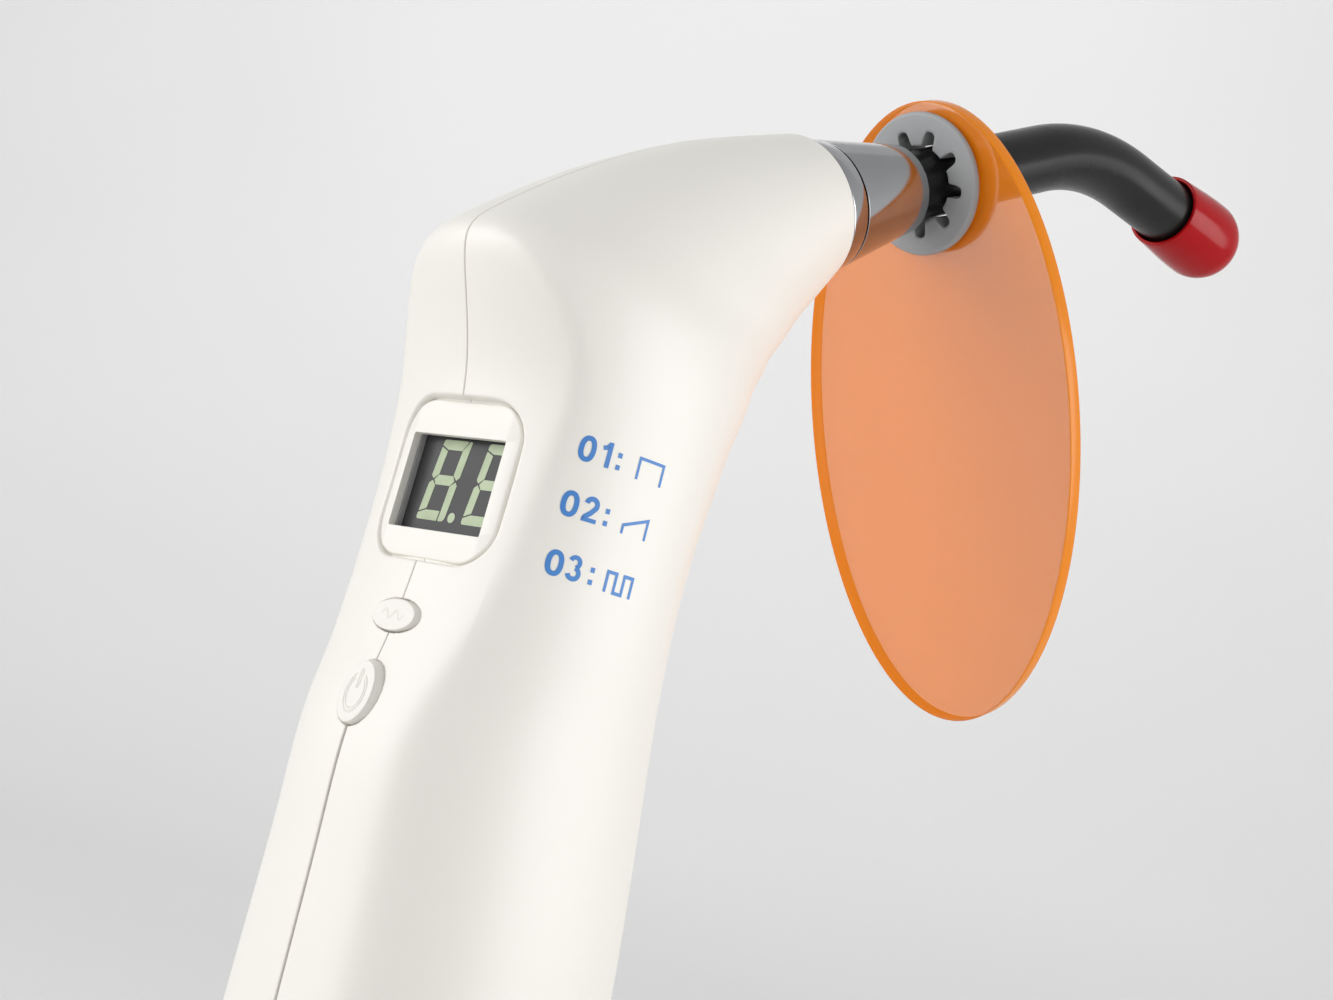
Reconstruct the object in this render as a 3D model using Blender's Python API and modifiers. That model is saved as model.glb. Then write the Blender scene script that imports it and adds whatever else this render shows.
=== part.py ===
"""Cordless dental curing light: handpiece, bent light guide, eye shield and tip cap.

Frame: +Z up along the lower handle, +X forward (the way the nose leans), +Y to the
user's left when the display faces them.  The origin is the middle of the flat base.
The two shell halves meet on the plane Y = 0.
"""
import math

import bmesh
import bpy
from mathutils import Matrix, Vector

MM = 0.001

# ---------------------------------------------------------------- dimensions (mm)
GAP = 0.3                      # running gap between neighbouring pieces
WALL = 2.0                     # shell wall
NOSE_TILT = 27.5               # rise of the nose axis above horizontal, degrees
SHIELD_LEAN = 2.9              # the soft grommet lets the shield lean this much
SHIELD_X, SHIELD_Z = 45.4, 165.0   # where the shield plane meets the nose axis

# Handle sections: back (x, z), front (x, z), half width, back and front roundness.
SECTIONS = [
    (-16.2, 3.0, 17.0, 3.0, 15.0, 2.6, 2.5),
    (-16.9, 14.0, 18.0, 14.0, 15.8, 2.7, 2.5),
    (-17.1, 40.0, 18.4, 40.0, 16.0, 2.8, 2.5),
    (-17.1, 66.0, 18.2, 66.0, 15.6, 2.8, 2.5),
    (-17.1, 80.0, 17.4, 80.0, 15.0, 2.9, 2.5),
    (-17.0, 90.0, 16.3, 90.0, 14.6, 3.0, 2.5),
    (-15.4, 97.0, 15.1, 97.0, 14.6, 3.2, 2.5),
    (-14.1, 104.0, 14.1, 104.0, 14.8, 3.5, 2.5),
    (-13.4, 111.0, 13.8, 110.5, 14.9, 3.7, 2.5),
    (-13.1, 117.5, 14.2, 116.0, 15.0, 3.8, 2.5),
    (-13.4, 123.5, 15.2, 120.8, 15.1, 3.8, 2.4),
    (-14.7, 128.5, 16.5, 125.0, 15.2, 3.5, 2.3),
    (-16.5, 133.0, 17.9, 128.6, 15.0, 3.1, 2.3),
    (-17.7, 136.5, 19.2, 131.6, 14.6, 2.7, 2.2),
    (-17.2, 138.8, 20.4, 133.8, 14.0, 2.4, 2.2),
    (-14.6, 141.3, 21.6, 135.8, 13.3, 2.3, 2.1),
    (-9.5, 145.3, 23.2, 138.2, 12.4, 2.2, 2.1),
    (-2.5, 150.1, 25.1, 140.9, 11.2, 2.1, 2.0),
    (6.3, 155.2, 26.9, 143.5, 10.0, 2.0, 2.0),
    (14.5, 159.0, 28.3, 145.6, 9.0, 2.0, 2.0),
    (21.7, 162.0, 29.3, 147.4, 8.24, 2.0, 2.0),
]
SECTION_STEPS = 2              # extra loft rows between listed sections
HALF_POINTS = 13               # points round half a section

BEZEL_W, BEZEL_H, BEZEL_R = 16.4, 15.6, 3.4
BEZEL_Z, BEZEL_BACK, BEZEL_FRONT = 114.55, -12.6, -11.8
WINDOW_W, WINDOW_H, WINDOW_Z = 13.1, 9.2, 114.2
LCD_BACK, LCD_FRONT = -10.8, -9.3
BOARD_BACK, BOARD_FRONT = -8.6, -7.2
BOARD_Z0, BOARD_Z1 = 79.5, 124.5

MODE = dict(z=101.0, y=3.3, h=1.6, face=-15.0, wall=-14.1, lean=11.0)
POWER = dict(z=93.3, y=2.65, h=3.2, face=-17.0, wall=-15.1, lean=8.0)
BUTTON_TRAVEL = 0.6

SCREWS = [(3.0, 84.0), (4.0, 122.0), (-6.0, 131.0)]   # case screws, (x, z)
BOSS_R, BOSS_END = 3.0, 12.9
HEAD_R, HEAD_IN, HEAD_OUT = 1.8, 12.0, 13.4
SHANK_R = 0.85

CELL_X, CELL_R, CELL_Z0, CELL_Z1 = 2.0, 9.0, 11.0, 76.0

GUIDE_R, FIBRE_R, SHEATH_WALL = 4.0, 3.3, 0.4
BEND_START, BEND_R, BEND_ANGLE = 21.6, 35.2, 0.54
TIP_LENGTH = 18.7              # straight run from the bend to the cap's round end
CAP_R, CAP_WALL, CAP_MOUTH = 5.25, 0.95, 8.4

RIM_S, RING_S, CONE_S = -22.4, -18.6, -5.7
SHIELD_A, SHIELD_B, SHIELD_DROP, SHIELD_T = 18.96, 36.33, 27.07, 2.2
GROMMET_R, GROMMET_BORE, SLOT_OUT, SLOTS, SLOT_W = 8.12, 4.25, 5.35, 9, 1.5


# ---------------------------------------------------------------- scene helpers
def clear_scene():
    for obj in list(bpy.data.objects):
        bpy.data.objects.remove(obj, do_unlink=True)


def new_collection(name):
    coll = bpy.data.collections.new(name)
    bpy.context.scene.collection.children.link(coll)
    return coll


def material(name, colour, rough=0.4, metal=0.0, alpha=1.0):
    mat = bpy.data.materials.new(name)
    mat.use_nodes = True
    shader = mat.node_tree.nodes["Principled BSDF"]
    shader.inputs["Base Color"].default_value = (*colour, 1.0)
    shader.inputs["Roughness"].default_value = rough
    shader.inputs["Metallic"].default_value = metal
    shader.inputs["Alpha"].default_value = alpha
    return mat


clear_scene()
PARTS = new_collection("curing_light")
CUTTERS = new_collection("cutters")

WHITE = material("white_shell", (0.90, 0.88, 0.83), 0.45)
SMOKE = material("dark_display", (0.06, 0.06, 0.065), 0.3)
GREYPL = material("grey_plastic", (0.45, 0.45, 0.44), 0.5)
CHROME = material("chrome", (0.80, 0.80, 0.80), 0.08, 1.0)
STEEL = material("steel", (0.62, 0.62, 0.60), 0.3, 1.0)
ALU = material("aluminium", (0.70, 0.71, 0.72), 0.4, 1.0)
BRASS = material("gold_contact", (0.80, 0.62, 0.28), 0.3, 1.0)
RUBBER = material("grey_rubber", (0.55, 0.56, 0.56), 0.6)
BLACK = material("black_sheath", (0.02, 0.02, 0.02), 0.35)
FIBRE = material("glass_fibre", (0.85, 0.88, 0.90), 0.1)
ORANGE = material("orange_plate", (0.90, 0.38, 0.06), 0.15, 0.0, 0.6)
RED = material("red_cap", (0.55, 0.02, 0.03), 0.15)
GREEN = material("board_green", (0.03, 0.22, 0.10), 0.5)
CELLBLUE = material("cell_sleeve", (0.08, 0.20, 0.45), 0.4)
WIRE = material("wire_red", (0.55, 0.03, 0.03), 0.5)


def put(obj, mat, coll=PARTS, parent=None):
    coll.objects.link(obj)
    if mat:
        obj.data.materials.append(mat)
    if parent:
        obj.parent = parent
    return obj


def empty(name, location, rotation=(0, 0, 0)):
    obj = bpy.data.objects.new(name, None)
    obj.location = Vector(location) * MM
    obj.rotation_euler = rotation
    PARTS.objects.link(obj)
    return obj


def from_bmesh(name, bm, mat, coll=PARTS, parent=None, smooth=35):
    mesh = bpy.data.meshes.new(name)
    bmesh.ops.recalc_face_normals(bm, faces=bm.faces)
    bm.to_mesh(mesh)
    bm.free()
    mesh.shade_smooth()
    mesh.set_sharp_from_angle(angle=math.radians(smooth))
    return put(bpy.data.objects.new(name, mesh), mat, coll, parent)


def as_cutter(obj):
    obj.hide_render = True
    obj.display_type = "WIRE"
    return obj


def boolean(obj, tool, operation="DIFFERENCE"):
    mod = obj.modifiers.new(tool.name, "BOOLEAN")
    mod.operation = operation
    mod.object = tool


# ---------------------------------------------------------------- shape helpers
def box(name, centre, size, mat=None, coll=PARTS, parent=None, bevel=0.0):
    bm = bmesh.new()
    bmesh.ops.create_cube(bm, size=1.0)
    bmesh.ops.scale(bm, vec=Vector(size) * MM, verts=bm.verts)
    obj = from_bmesh(name, bm, mat, coll, parent)
    obj.location = Vector(centre) * MM
    if bevel:
        mod = obj.modifiers.new("round", "BEVEL")
        mod.width = bevel * MM
        mod.segments = 1
    return obj


def rod(name, centre, radius, length, axis="Z", mat=None, coll=PARTS, sides=20, parent=None):
    bm = bmesh.new()
    bmesh.ops.create_cone(bm, cap_ends=True, segments=sides, radius1=radius * MM,
                          radius2=radius * MM, depth=length * MM)
    obj = from_bmesh(name, bm, mat, coll, parent)
    obj.location = Vector(centre) * MM
    obj.rotation_euler = {"X": (0, math.pi / 2, 0), "Y": (math.pi / 2, 0, 0),
                          "Z": (0, 0, 0)}[axis]
    return obj


def turned(name, profile, mat, parent=None, steps=28, closed=True, coll=PARTS):
    """Revolve (radius, height) points about local Z; the outer side runs downwards."""
    bm = bmesh.new()
    verts = [bm.verts.new((r * MM, 0, z * MM)) for r, z in profile]
    pairs = list(zip(verts, verts[1:]))
    if closed:
        pairs.append((verts[-1], verts[0]))
    for a, b in pairs:
        bm.edges.new((a, b))
    mesh = bpy.data.meshes.new(name)
    bm.to_mesh(mesh)
    bm.free()
    obj = put(bpy.data.objects.new(name, mesh), mat, coll, parent)
    mod = obj.modifiers.new("turn", "SCREW")
    mod.steps = mod.render_steps = steps
    mod.use_merge_vertices = True
    mod.merge_threshold = 0.00001
    mod.use_smooth_shade = True
    return obj


def extruded(name, outlines, thick, mat, coll=PARTS, parent=None):
    """Flat plate in local XY, filled between closed outlines, centred on local Z = 0."""
    curve = bpy.data.curves.new(name, "CURVE")
    curve.dimensions = "2D"
    curve.fill_mode = "BOTH"
    curve.extrude = thick * MM / 2
    for points in outlines:
        spline = curve.splines.new("POLY")
        spline.points.add(len(points) - 1)
        for p, (x, y) in zip(spline.points, points):
            p.co = (x * MM, y * MM, 0, 1)
        spline.use_cyclic_u = True
    return put(bpy.data.objects.new(name, curve), mat, coll, parent)


def curve_to_mesh(obj):
    """Replace a curve object by a welded mesh object of the same name and place."""
    bpy.context.view_layer.update()
    graph = bpy.context.evaluated_depsgraph_get()
    mesh = bpy.data.meshes.new_from_object(obj.evaluated_get(graph))
    bm = bmesh.new()
    bm.from_mesh(mesh)
    bmesh.ops.remove_doubles(bm, verts=bm.verts, dist=0.00001)
    bmesh.ops.recalc_face_normals(bm, faces=bm.faces)
    bm.to_mesh(mesh)
    bm.free()
    name, coll, parent, world = obj.name, obj.users_collection[0], obj.parent, obj.matrix_world.copy()
    bpy.data.objects.remove(obj, do_unlink=True)
    new = bpy.data.objects.new(name, mesh)
    coll.objects.link(new)
    new.parent = parent
    new.matrix_world = world
    return new


def ellipse(a, b, n, cx=0.0, cy=0.0):
    return [(cx + a * math.cos(2 * math.pi * k / n), cy + b * math.sin(2 * math.pi * k / n))
            for k in range(n)]


def rounded_rect(w, h, r, n=5, cx=0.0, cy=0.0):
    points = []
    for sx, sy, start in ((1, 1, 0), (-1, 1, 90), (-1, -1, 180), (1, -1, 270)):
        for k in range(n):
            a = math.radians(start + 90 * k / (n - 1))
            points.append((cx + sx * (w / 2 - r) + r * math.cos(a),
                           cy + sy * (h / 2 - r) + r * math.sin(a)))
    return points


def prism(name, outline, low, high, axis, mat=None, coll=PARTS, parent=None):
    """Solid between two planes square to an axis; outline is (Y, Z) or (X, Y) points."""
    bm = bmesh.new()
    place = {"X": lambda a, b, t: (t, a, b), "Z": lambda a, b, t: (a, b, t)}[axis]
    ends = [[bm.verts.new(Vector(place(a, b, t)) * MM) for a, b in outline] for t in (low, high)]
    bm.faces.new(ends[0][::-1])
    bm.faces.new(ends[1])
    for k in range(len(outline)):
        j = (k + 1) % len(outline)
        bm.faces.new((ends[0][k], ends[0][j], ends[1][j], ends[1][k]))
    return from_bmesh(name, bm, mat, coll, parent)


def catmull(p0, p1, p2, p3, t):
    return tuple(0.5 * (2 * b + (c - a) * t + (2 * a - 5 * b + 4 * c - d) * t * t
                        + (3 * b - a - 3 * c + d) * t ** 3) for a, b, c, d in zip(p0, p1, p2, p3))


def dense_sections():
    rows = []
    last = len(SECTIONS) - 1
    for i in range(last):
        ring = [SECTIONS[min(max(i + k, 0), last)] for k in (-1, 0, 1, 2)]
        rows += [catmull(*ring, k / SECTION_STEPS) for k in range(SECTION_STEPS)]
    return rows + [SECTIONS[last]]


def section_point(row, angle, shrink=0.0):
    """Point of a section; angle 0 is the front seam and pi the back seam."""
    bx, bz, fx, fz, half, p_back, p_front = row
    p = p_front if math.cos(angle) >= 0 else p_back
    c, s = math.cos(angle), math.sin(angle)
    t = math.copysign(abs(c) ** (2 / p), c)
    chord = Vector((fx - bx, 0, fz - bz))
    reach = chord.length / 2 - shrink
    mid = Vector(((fx + bx) / 2, 0, (fz + bz) / 2))
    return mid + chord.normalized() * reach * t + Vector((0, (half - shrink) * abs(s) ** (2 / p), 0))


# ---------------------------------------------------------------- shell halves
def shell_half(name, side):
    """Handle and head wall on one side of the seam: an outer and an inner loft, joined."""
    bm = bmesh.new()
    skins = []
    for shrink in (0.0, WALL):
        grid = []
        for row in dense_sections():
            line = []
            for k in range(HALF_POINTS):
                p = section_point(row, math.pi * k / (HALF_POINTS - 1), shrink)
                p.y = side * (GAP / 2 + p.y * (1 - GAP / 2 / (row[4] - shrink)))
                line.append(bm.verts.new(p * MM))
            grid.append(line)
        skins.append(grid)
    outer, inner = skins
    last = HALF_POINTS - 1
    for grid in skins:
        for a, b in zip(grid, grid[1:]):
            for k in range(last):
                bm.faces.new((a[k], a[k + 1], b[k + 1], b[k]))
    for k in (0, last):                                  # seam faces
        for i in range(len(outer) - 1):
            bm.faces.new((outer[i][k], inner[i][k], inner[i + 1][k], outer[i + 1][k]))
    for i in (0, len(outer) - 1):                        # base and nose rims
        for k in range(last):
            bm.faces.new((outer[i][k], outer[i][k + 1], inner[i][k + 1], inner[i][k]))
    return from_bmesh(name, bm, WHITE)


def button_outline(b, grow=0.0, n=24):
    return ellipse(b["y"] + grow, b["h"] + grow, n, 0.0, b["z"])


left = shell_half("left_shell", 1)
right = shell_half("right_shell", -1)

openings = [prism("cut_display", rounded_rect(BEZEL_W + 0.7, BEZEL_H + 0.7, BEZEL_R + 0.3, 5, 0,
                                              BEZEL_Z), -22, -9.8, "X", None, CUTTERS)]
for label, b in (("mode", MODE), ("power", POWER)):
    openings.append(prism("cut_" + label, button_outline(b, GAP), -24, -10.5, "X", None, CUTTERS))

for index, (sx, sz) in enumerate(SCREWS, 1):
    for shell, side in ((left, 1), (right, -1)):
        mid = side * (GAP / 2 + BOSS_END) / 2
        boss = as_cutter(rod("boss_%d_%s" % (index, shell.name), (sx, mid, sz), BOSS_R,
                             BOSS_END - GAP / 2, "Y", None, CUTTERS, 14))
        boolean(shell, boss, "UNION")
    hole = as_cutter(rod("hole_%d" % index, (sx, 2.0, sz), SHANK_R + GAP, 22.0, "Y", None,
                         CUTTERS, 12))
    sink = as_cutter(rod("sink_%d" % index, (sx, HEAD_IN - GAP + 4, sz), HEAD_R + GAP, 8.0, "Y",
                         None, CUTTERS, 16))
    boolean(left, hole)
    boolean(left, sink)
    boolean(right, hole)
    shank = rod("case_screw_%d" % index, (sx, (HEAD_IN - 7.3) / 2, sz), SHANK_R, HEAD_IN + 8.7,
                "Y", STEEL, PARTS, 12)
    head = as_cutter(rod("head_%d" % index, (sx, (HEAD_IN + HEAD_OUT) / 2, sz), HEAD_R,
                         HEAD_OUT - HEAD_IN, "Y", None, CUTTERS, 16))
    boolean(shank, head, "UNION")
    for turn in (0, 1):
        size = (2.2, 1.4, 0.5) if turn else (0.5, 1.4, 2.2)
        slot = as_cutter(box("drive_%d_%d" % (index, turn), (sx, HEAD_OUT, sz), size, None, CUTTERS))
        boolean(shank, slot)

for cutter in openings:
    as_cutter(cutter)
    boolean(left, cutter)
    boolean(right, cutter)

# ---------------------------------------------------------------- base cap and charging pins
def base_ring(z, shrink):
    bm_row = SECTIONS[0]
    half = []
    for k in range(HALF_POINTS):
        p = section_point(bm_row, math.pi * k / (HALF_POINTS - 1), shrink)
        half.append((p.x, p.y, z))
    return half + [(x, -y, z) for x, y, z in half[-2:0:-1]]


def base_cap():
    bm = bmesh.new()
    rings = [base_ring(0.0, 1.2), base_ring(0.4, 0.45), base_ring(1.2, 0.1), base_ring(2.7, 0.0),
             base_ring(2.7, WALL + 0.5), base_ring(7.0, WALL + 0.5)]
    loops = [[bm.verts.new(Vector(p) * MM) for p in ring] for ring in rings]
    count = len(loops[0])
    for a, b in zip(loops, loops[1:]):
        for k in range(count):
            j = (k + 1) % count
            bm.faces.new((a[k], a[j], b[j], b[k]))
    bm.faces.new(loops[0][::-1])
    bm.faces.new(loops[-1])
    return from_bmesh("base_cap", bm, WHITE)


cap = base_cap()
for label, y in (("left", 4.5), ("right", -4.5)):
    well = as_cutter(rod("well_" + label, (0, y, 4.0), 1.6, 12.0, "Z", None, CUTTERS, 16))
    boolean(cap, well)
    rod("charge_pin_" + label, (0, y, 3.9), 1.3, 7.2, "Z", BRASS, PARTS, 16)

# ---------------------------------------------------------------- battery group
cell = turned("battery_cell", [(0, CELL_Z1), (2.6, CELL_Z1), (2.8, CELL_Z1 - 1.2),
                               (8.2, CELL_Z1 - 1.2), (CELL_R, CELL_Z1 - 2), (CELL_R, CELL_Z0 + 0.5),
                               (8.5, CELL_Z0), (0, CELL_Z0)], CELLBLUE, None, 28, False)
cell.location = (CELL_X * MM, 0, 0)


def cradle_outline(inner, outer, spread, n=13):
    """Open channel round the cell: outer arc one way, inner arc back."""
    arc = [math.radians(-spread + 2 * spread * k / (n - 1)) for k in range(n)]
    return ([(CELL_X + outer * math.cos(a), outer * math.sin(a)) for a in arc]
            + [(CELL_X + inner * math.cos(a), inner * math.sin(a)) for a in arc[::-1]])


prism("battery_cradle", cradle_outline(CELL_R + GAP, CELL_R + 1.7, 112), 9.0, 78.0, "Z", GREYPL)
rod("contact_plate", (CELL_X, 0, 76.75), 5.0, 0.7, "Z", BRASS, PARTS, 20)


def spring_curve(name, x, z0, z1, r0, r1, turns, wire, mat):
    curve = bpy.data.curves.new(name, "CURVE")
    curve.dimensions = "3D"
    curve.bevel_depth = wire * MM
    curve.bevel_resolution = 1
    curve.use_fill_caps = True
    spline = curve.splines.new("POLY")
    count = int(turns * 10) + 1
    spline.points.add(count - 1)
    for k, p in enumerate(spline.points):
        t = k / (count - 1)
        a = 2 * math.pi * turns * t
        r = r0 + (r1 - r0) * t
        p.co = ((x + r * math.cos(a)) * MM, r * math.sin(a) * MM, (z0 + (z1 - z0) * t) * MM, 1)
    return curve_to_mesh(put(bpy.data.objects.new(name, curve), mat))


spring_curve("contact_spring", CELL_X, 7.8, 10.2, 5.5, 2.4, 2.5, 0.35, STEEL)

# ---------------------------------------------------------------- display group
face = (90, 0, 90)
bezel = prism("display_bezel", rounded_rect(BEZEL_W, BEZEL_H, BEZEL_R, 6, 0, BEZEL_Z),
              BEZEL_BACK, BEZEL_FRONT, "X", WHITE)
opening = as_cutter(prism("cut_window", rounded_rect(WINDOW_W, WINDOW_H, 0.25, 3, 0, WINDOW_Z),
                          -20, -9, "X", None, CUTTERS))
boolean(bezel, opening)
frame = prism("display_frame", rounded_rect(15.2, 11.4, 0.5, 3, 0, WINDOW_Z), -11.5, -11.1, "X",
              GREYPL)
inner = as_cutter(prism("cut_frame", rounded_rect(12.6, 8.7, 0.2, 3, 0, WINDOW_Z), -20, -9, "X",
                        None, CUTTERS))
boolean(frame, inner)
box("display_panel", (-9.9, 0, WINDOW_Z), (1.8, 15.2, 11.4), SMOKE)

# ---------------------------------------------------------------- circuit board group
box("main_board", ((BOARD_BACK + BOARD_FRONT) / 2, 0, (BOARD_Z0 + BOARD_Z1) / 2),
    (BOARD_FRONT - BOARD_BACK, 17.0, BOARD_Z1 - BOARD_Z0), GREEN)
box("controller_chip", (BOARD_FRONT + 0.95, 0, 112), (1.3, 7.0, 7.0), SMOKE)
box("driver_coil", (BOARD_FRONT + 1.9, -3.5, 100), (3.2, 6.0, 6.0), SMOKE, bevel=0.5)
rod("buzzer", (BOARD_FRONT + 1.6, 2.6, 91.5), 4.6, 2.6, "X", SMOKE, PARTS, 24)

for label, b in (("mode", MODE), ("power", POWER)):
    hub = empty(label + "_axis", (b["face"], 0, b["z"]))
    inner_x = b["wall"] + WALL + 0.4
    cap_obj = prism(label + "_button", button_outline(b), b["face"], inner_x + 0.2, "X", WHITE)
    flange = as_cutter(prism("flange_" + label, button_outline(b, 0.9), inner_x, inner_x + 0.7,
                             "X", None, CUTTERS))
    boolean(cap_obj, flange, "UNION")
    rim = cap_obj.modifiers.new("round", "BEVEL")
    rim.width = 0.0003
    rim.segments = 2
    rim.limit_method = "ANGLE"
    cap_obj.parent = hub
    cap_obj.matrix_parent_inverse = Matrix.Translation(-Vector(hub.location))
    top = inner_x + 1.0
    body_x0 = top + 0.5
    stem = rod(label + "_plunger", (top + 0.65, 0, b["z"]), 1.0, 1.3, "X", GREYPL, PARTS, 16)
    stem.parent = hub
    stem.matrix_parent_inverse = Matrix.Translation(-Vector(hub.location))
    depth = BOARD_BACK - GAP - body_x0
    switch = box(label + "_switch", (body_x0 + depth / 2, 0, b["z"]), (depth, 4.6, 4.6), GREYPL)
    bore = as_cutter(rod("bore_" + label, (body_x0, 0, b["z"]), 1.3, 3.2, "X", None, CUTTERS, 16))
    boolean(switch, bore)

# ---------------------------------------------------------------- nose pieces, on the nose axis
SQUARE = math.radians(90 - NOSE_TILT)
LEANED = math.radians(90 - NOSE_TILT + SHIELD_LEAN)
nose = empty("nose_axis", (SHIELD_X, 0, SHIELD_Z), (0, SQUARE, 0))

ring = turned("nose_ring", [(7.27, RING_S), (7.93, RIM_S + GAP), (5.9, RIM_S + GAP), (5.9, -27.5),
                            (5.2, -27.5), (5.2, RING_S)], CHROME, nose, 32)
turned("nose_cone", [(4.4, CONE_S), (4.9, CONE_S), (5.12, CONE_S - 0.25), (5.22, CONE_S - 0.7),
                     (7.2, RING_S + GAP), (4.9, RING_S + GAP), (4.9, -21.0), (4.4, -21.0),
                     (4.4, -16.4), (5.3, -16.4), (5.3, -12.9), (4.4, -12.9)], CHROME, nose, 32)
turned("reflector", [(4.8, -22.4), (4.8, -26.9), (2.3, -26.9), (4.2, -22.4)], ALU, nose, 24)
turned("led_emitter", [(0, -25.6), (0.9, -25.9), (1.6, -26.7), (1.9, -27.2), (1.9, -28.0),
                       (0, -28.0)], FIBRE, nose, 16, False)
turned("led_board", [(0, -28.3), (5.9, -28.3), (5.9, -29.7), (0, -29.7)], ALU, nose, 24, False)
FINS = 4
sink_profile = [(0, -30.0), (6.0, -30.0)]
for k in range(FINS):
    top = -33.0 - 4.0 * k
    sink_profile += [(6.0, top), (3.6, top), (3.6, top - 2.0), (6.0, top - 2.0)]
sink_profile += [(6.0, -49.0), (0, -49.0)]
turned("heat_sink", sink_profile, ALU, nose, 20, False)

# ---------------------------------------------------------------- light guide
turned("guide_collet", [(5.0, -13.2), (5.0, -16.1), (4.3, -16.1), (4.3, -13.2)], RUBBER, nose, 24)
turned("guide_ferrule", [(4.0, -12.0), (4.0, -17.2), (3.8, -17.5), (3.6, -17.5), (3.6, -12.0)],
       STEEL, nose, 24)


def guide_point(distance):
    """(s, h) along the guide, measured from the shield plane; the tip dips after the bend."""
    arc = BEND_R * BEND_ANGLE
    if distance <= BEND_START:
        return distance, 0.0
    if distance <= BEND_START + arc:
        a = (distance - BEND_START) / BEND_R
        return BEND_START + BEND_R * math.sin(a), -BEND_R * (1 - math.cos(a))
    s = BEND_START + BEND_R * math.sin(BEND_ANGLE)
    h = -BEND_R * (1 - math.cos(BEND_ANGLE))
    rest = distance - BEND_START - arc
    return s + rest * math.cos(BEND_ANGLE), h - rest * math.sin(BEND_ANGLE)


def guide_curve(name, radius, start, end, mat, filled, sides):
    arc_end = BEND_START + BEND_R * BEND_ANGLE
    stops = [start] + [BEND_START + BEND_R * BEND_ANGLE * k / 9 for k in range(10)]
    stops += [(arc_end + end) / 2, end]
    curve = bpy.data.curves.new(name, "CURVE")
    curve.dimensions = "3D"
    curve.bevel_depth = radius * MM
    curve.bevel_resolution = sides
    curve.use_fill_caps = filled
    spline = curve.splines.new("POLY")
    spline.points.add(len(stops) - 1)
    for p, d in zip(spline.points, stops):
        s, h = guide_point(d)
        p.co = (-h * MM, 0, s * MM, 1)
    return put(bpy.data.objects.new(name, curve), mat, PARTS, nose)


TIP_D = BEND_START + BEND_R * BEND_ANGLE + TIP_LENGTH
curve_to_mesh(guide_curve("light_guide_fibre", FIBRE_R, -17.2, TIP_D - 0.3, FIBRE, True, 3))
sheath = curve_to_mesh(guide_curve("light_guide_sheath", GUIDE_R, -11.7, TIP_D - 0.7, BLACK,
                                   False, 6))
skin = sheath.modifiers.new("wall", "SOLIDIFY")
skin.thickness = SHEATH_WALL * MM
skin.offset = -1.0

tip_s, tip_h = guide_point(TIP_D)
tip_at = (SHIELD_X + tip_s * math.cos(math.radians(NOSE_TILT)) - tip_h * math.sin(math.radians(NOSE_TILT)),
          0, SHIELD_Z + tip_s * math.sin(math.radians(NOSE_TILT)) + tip_h * math.cos(math.radians(NOSE_TILT)))
tip = empty("tip_axis", tip_at, (0, SQUARE + BEND_ANGLE, 0))
dome = [(CAP_R * math.sin(math.radians(a)), CAP_R * math.cos(math.radians(a)))
        for a in range(0, 91, 15)]
hollow = [((CAP_R - CAP_WALL) * math.cos(math.radians(a)), (CAP_R - CAP_WALL) * math.sin(math.radians(a)))
          for a in range(0, 91, 18)]
turned("tip_cap", dome + [(CAP_R - 0.45, -CAP_MOUTH + 0.2), (CAP_R - 0.6, -CAP_MOUTH),
                          (CAP_R - CAP_WALL, -CAP_MOUTH)] + hollow, RED, tip, 28, False)

# ---------------------------------------------------------------- eye shield
hub = empty("shield_axis", (SHIELD_X, 0, SHIELD_Z), (0, LEANED, 0))
grommet = turned("shield_grommet", [(5.0, 3.2), (7.6, 3.2), (GROMMET_R, 2.8), (GROMMET_R, 2.35),
                                    (6.5, 2.35), (6.5, -0.55), (GROMMET_R, -0.55),
                                    (GROMMET_R, -1.0), (7.7, -1.45), (5.0, -1.45),
                                    (GROMMET_BORE, -1.3), (GROMMET_BORE, 3.0)], RUBBER, hub, 36)


def slot_outline():
    """Round-ended teeth gaps about the bore."""
    points = []
    half = SLOT_W / 2 / SLOT_OUT
    base = SLOT_W / 2 / GROMMET_BORE
    for k in range(SLOTS):
        mid = 2 * math.pi * (k + 0.5) / SLOTS
        for r, a in ((4.0, mid - base), (SLOT_OUT, mid - half), (SLOT_OUT + 0.45, mid - half * 0.5),
                     (SLOT_OUT + 0.45, mid + half * 0.5), (SLOT_OUT, mid + half), (4.0, mid + base)):
            points.append((r * math.cos(a), r * math.sin(a)))
    return points


teeth = as_cutter(prism("cut_teeth", slot_outline(), -4, 6, "Z", None, CUTTERS, hub))
boolean(grommet, teeth)
shield_curve = extruded("shield_plate", [ellipse(SHIELD_B, SHIELD_A, 44, SHIELD_DROP, 0),
                                         ellipse(6.8, 6.8, 24)], SHIELD_T, ORANGE, PARTS, hub)
shield_curve.location = (0, 0, 0.9 * MM)
curve_to_mesh(shield_curve)


# ---------------------------------------------------------------- internal leads
def lead(name, points, mat):
    curve = bpy.data.curves.new(name, "CURVE")
    curve.dimensions = "3D"
    curve.bevel_depth = 0.5 * MM
    curve.bevel_resolution = 1
    curve.use_fill_caps = True
    spline = curve.splines.new("POLY")
    smooth = []
    for i in range(len(points) - 1):
        ring4 = [points[min(max(i + k, 0), len(points) - 1)] for k in (-1, 0, 1, 2)]
        smooth += [catmull(*ring4, k / 3) for k in range(3)]
    smooth.append(points[-1])
    spline.points.add(len(smooth) - 1)
    for p, co in zip(spline.points, smooth):
        p.co = (co[0] * MM, co[1] * MM, co[2] * MM, 1)
    return curve_to_mesh(put(bpy.data.objects.new(name, curve), mat))


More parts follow.
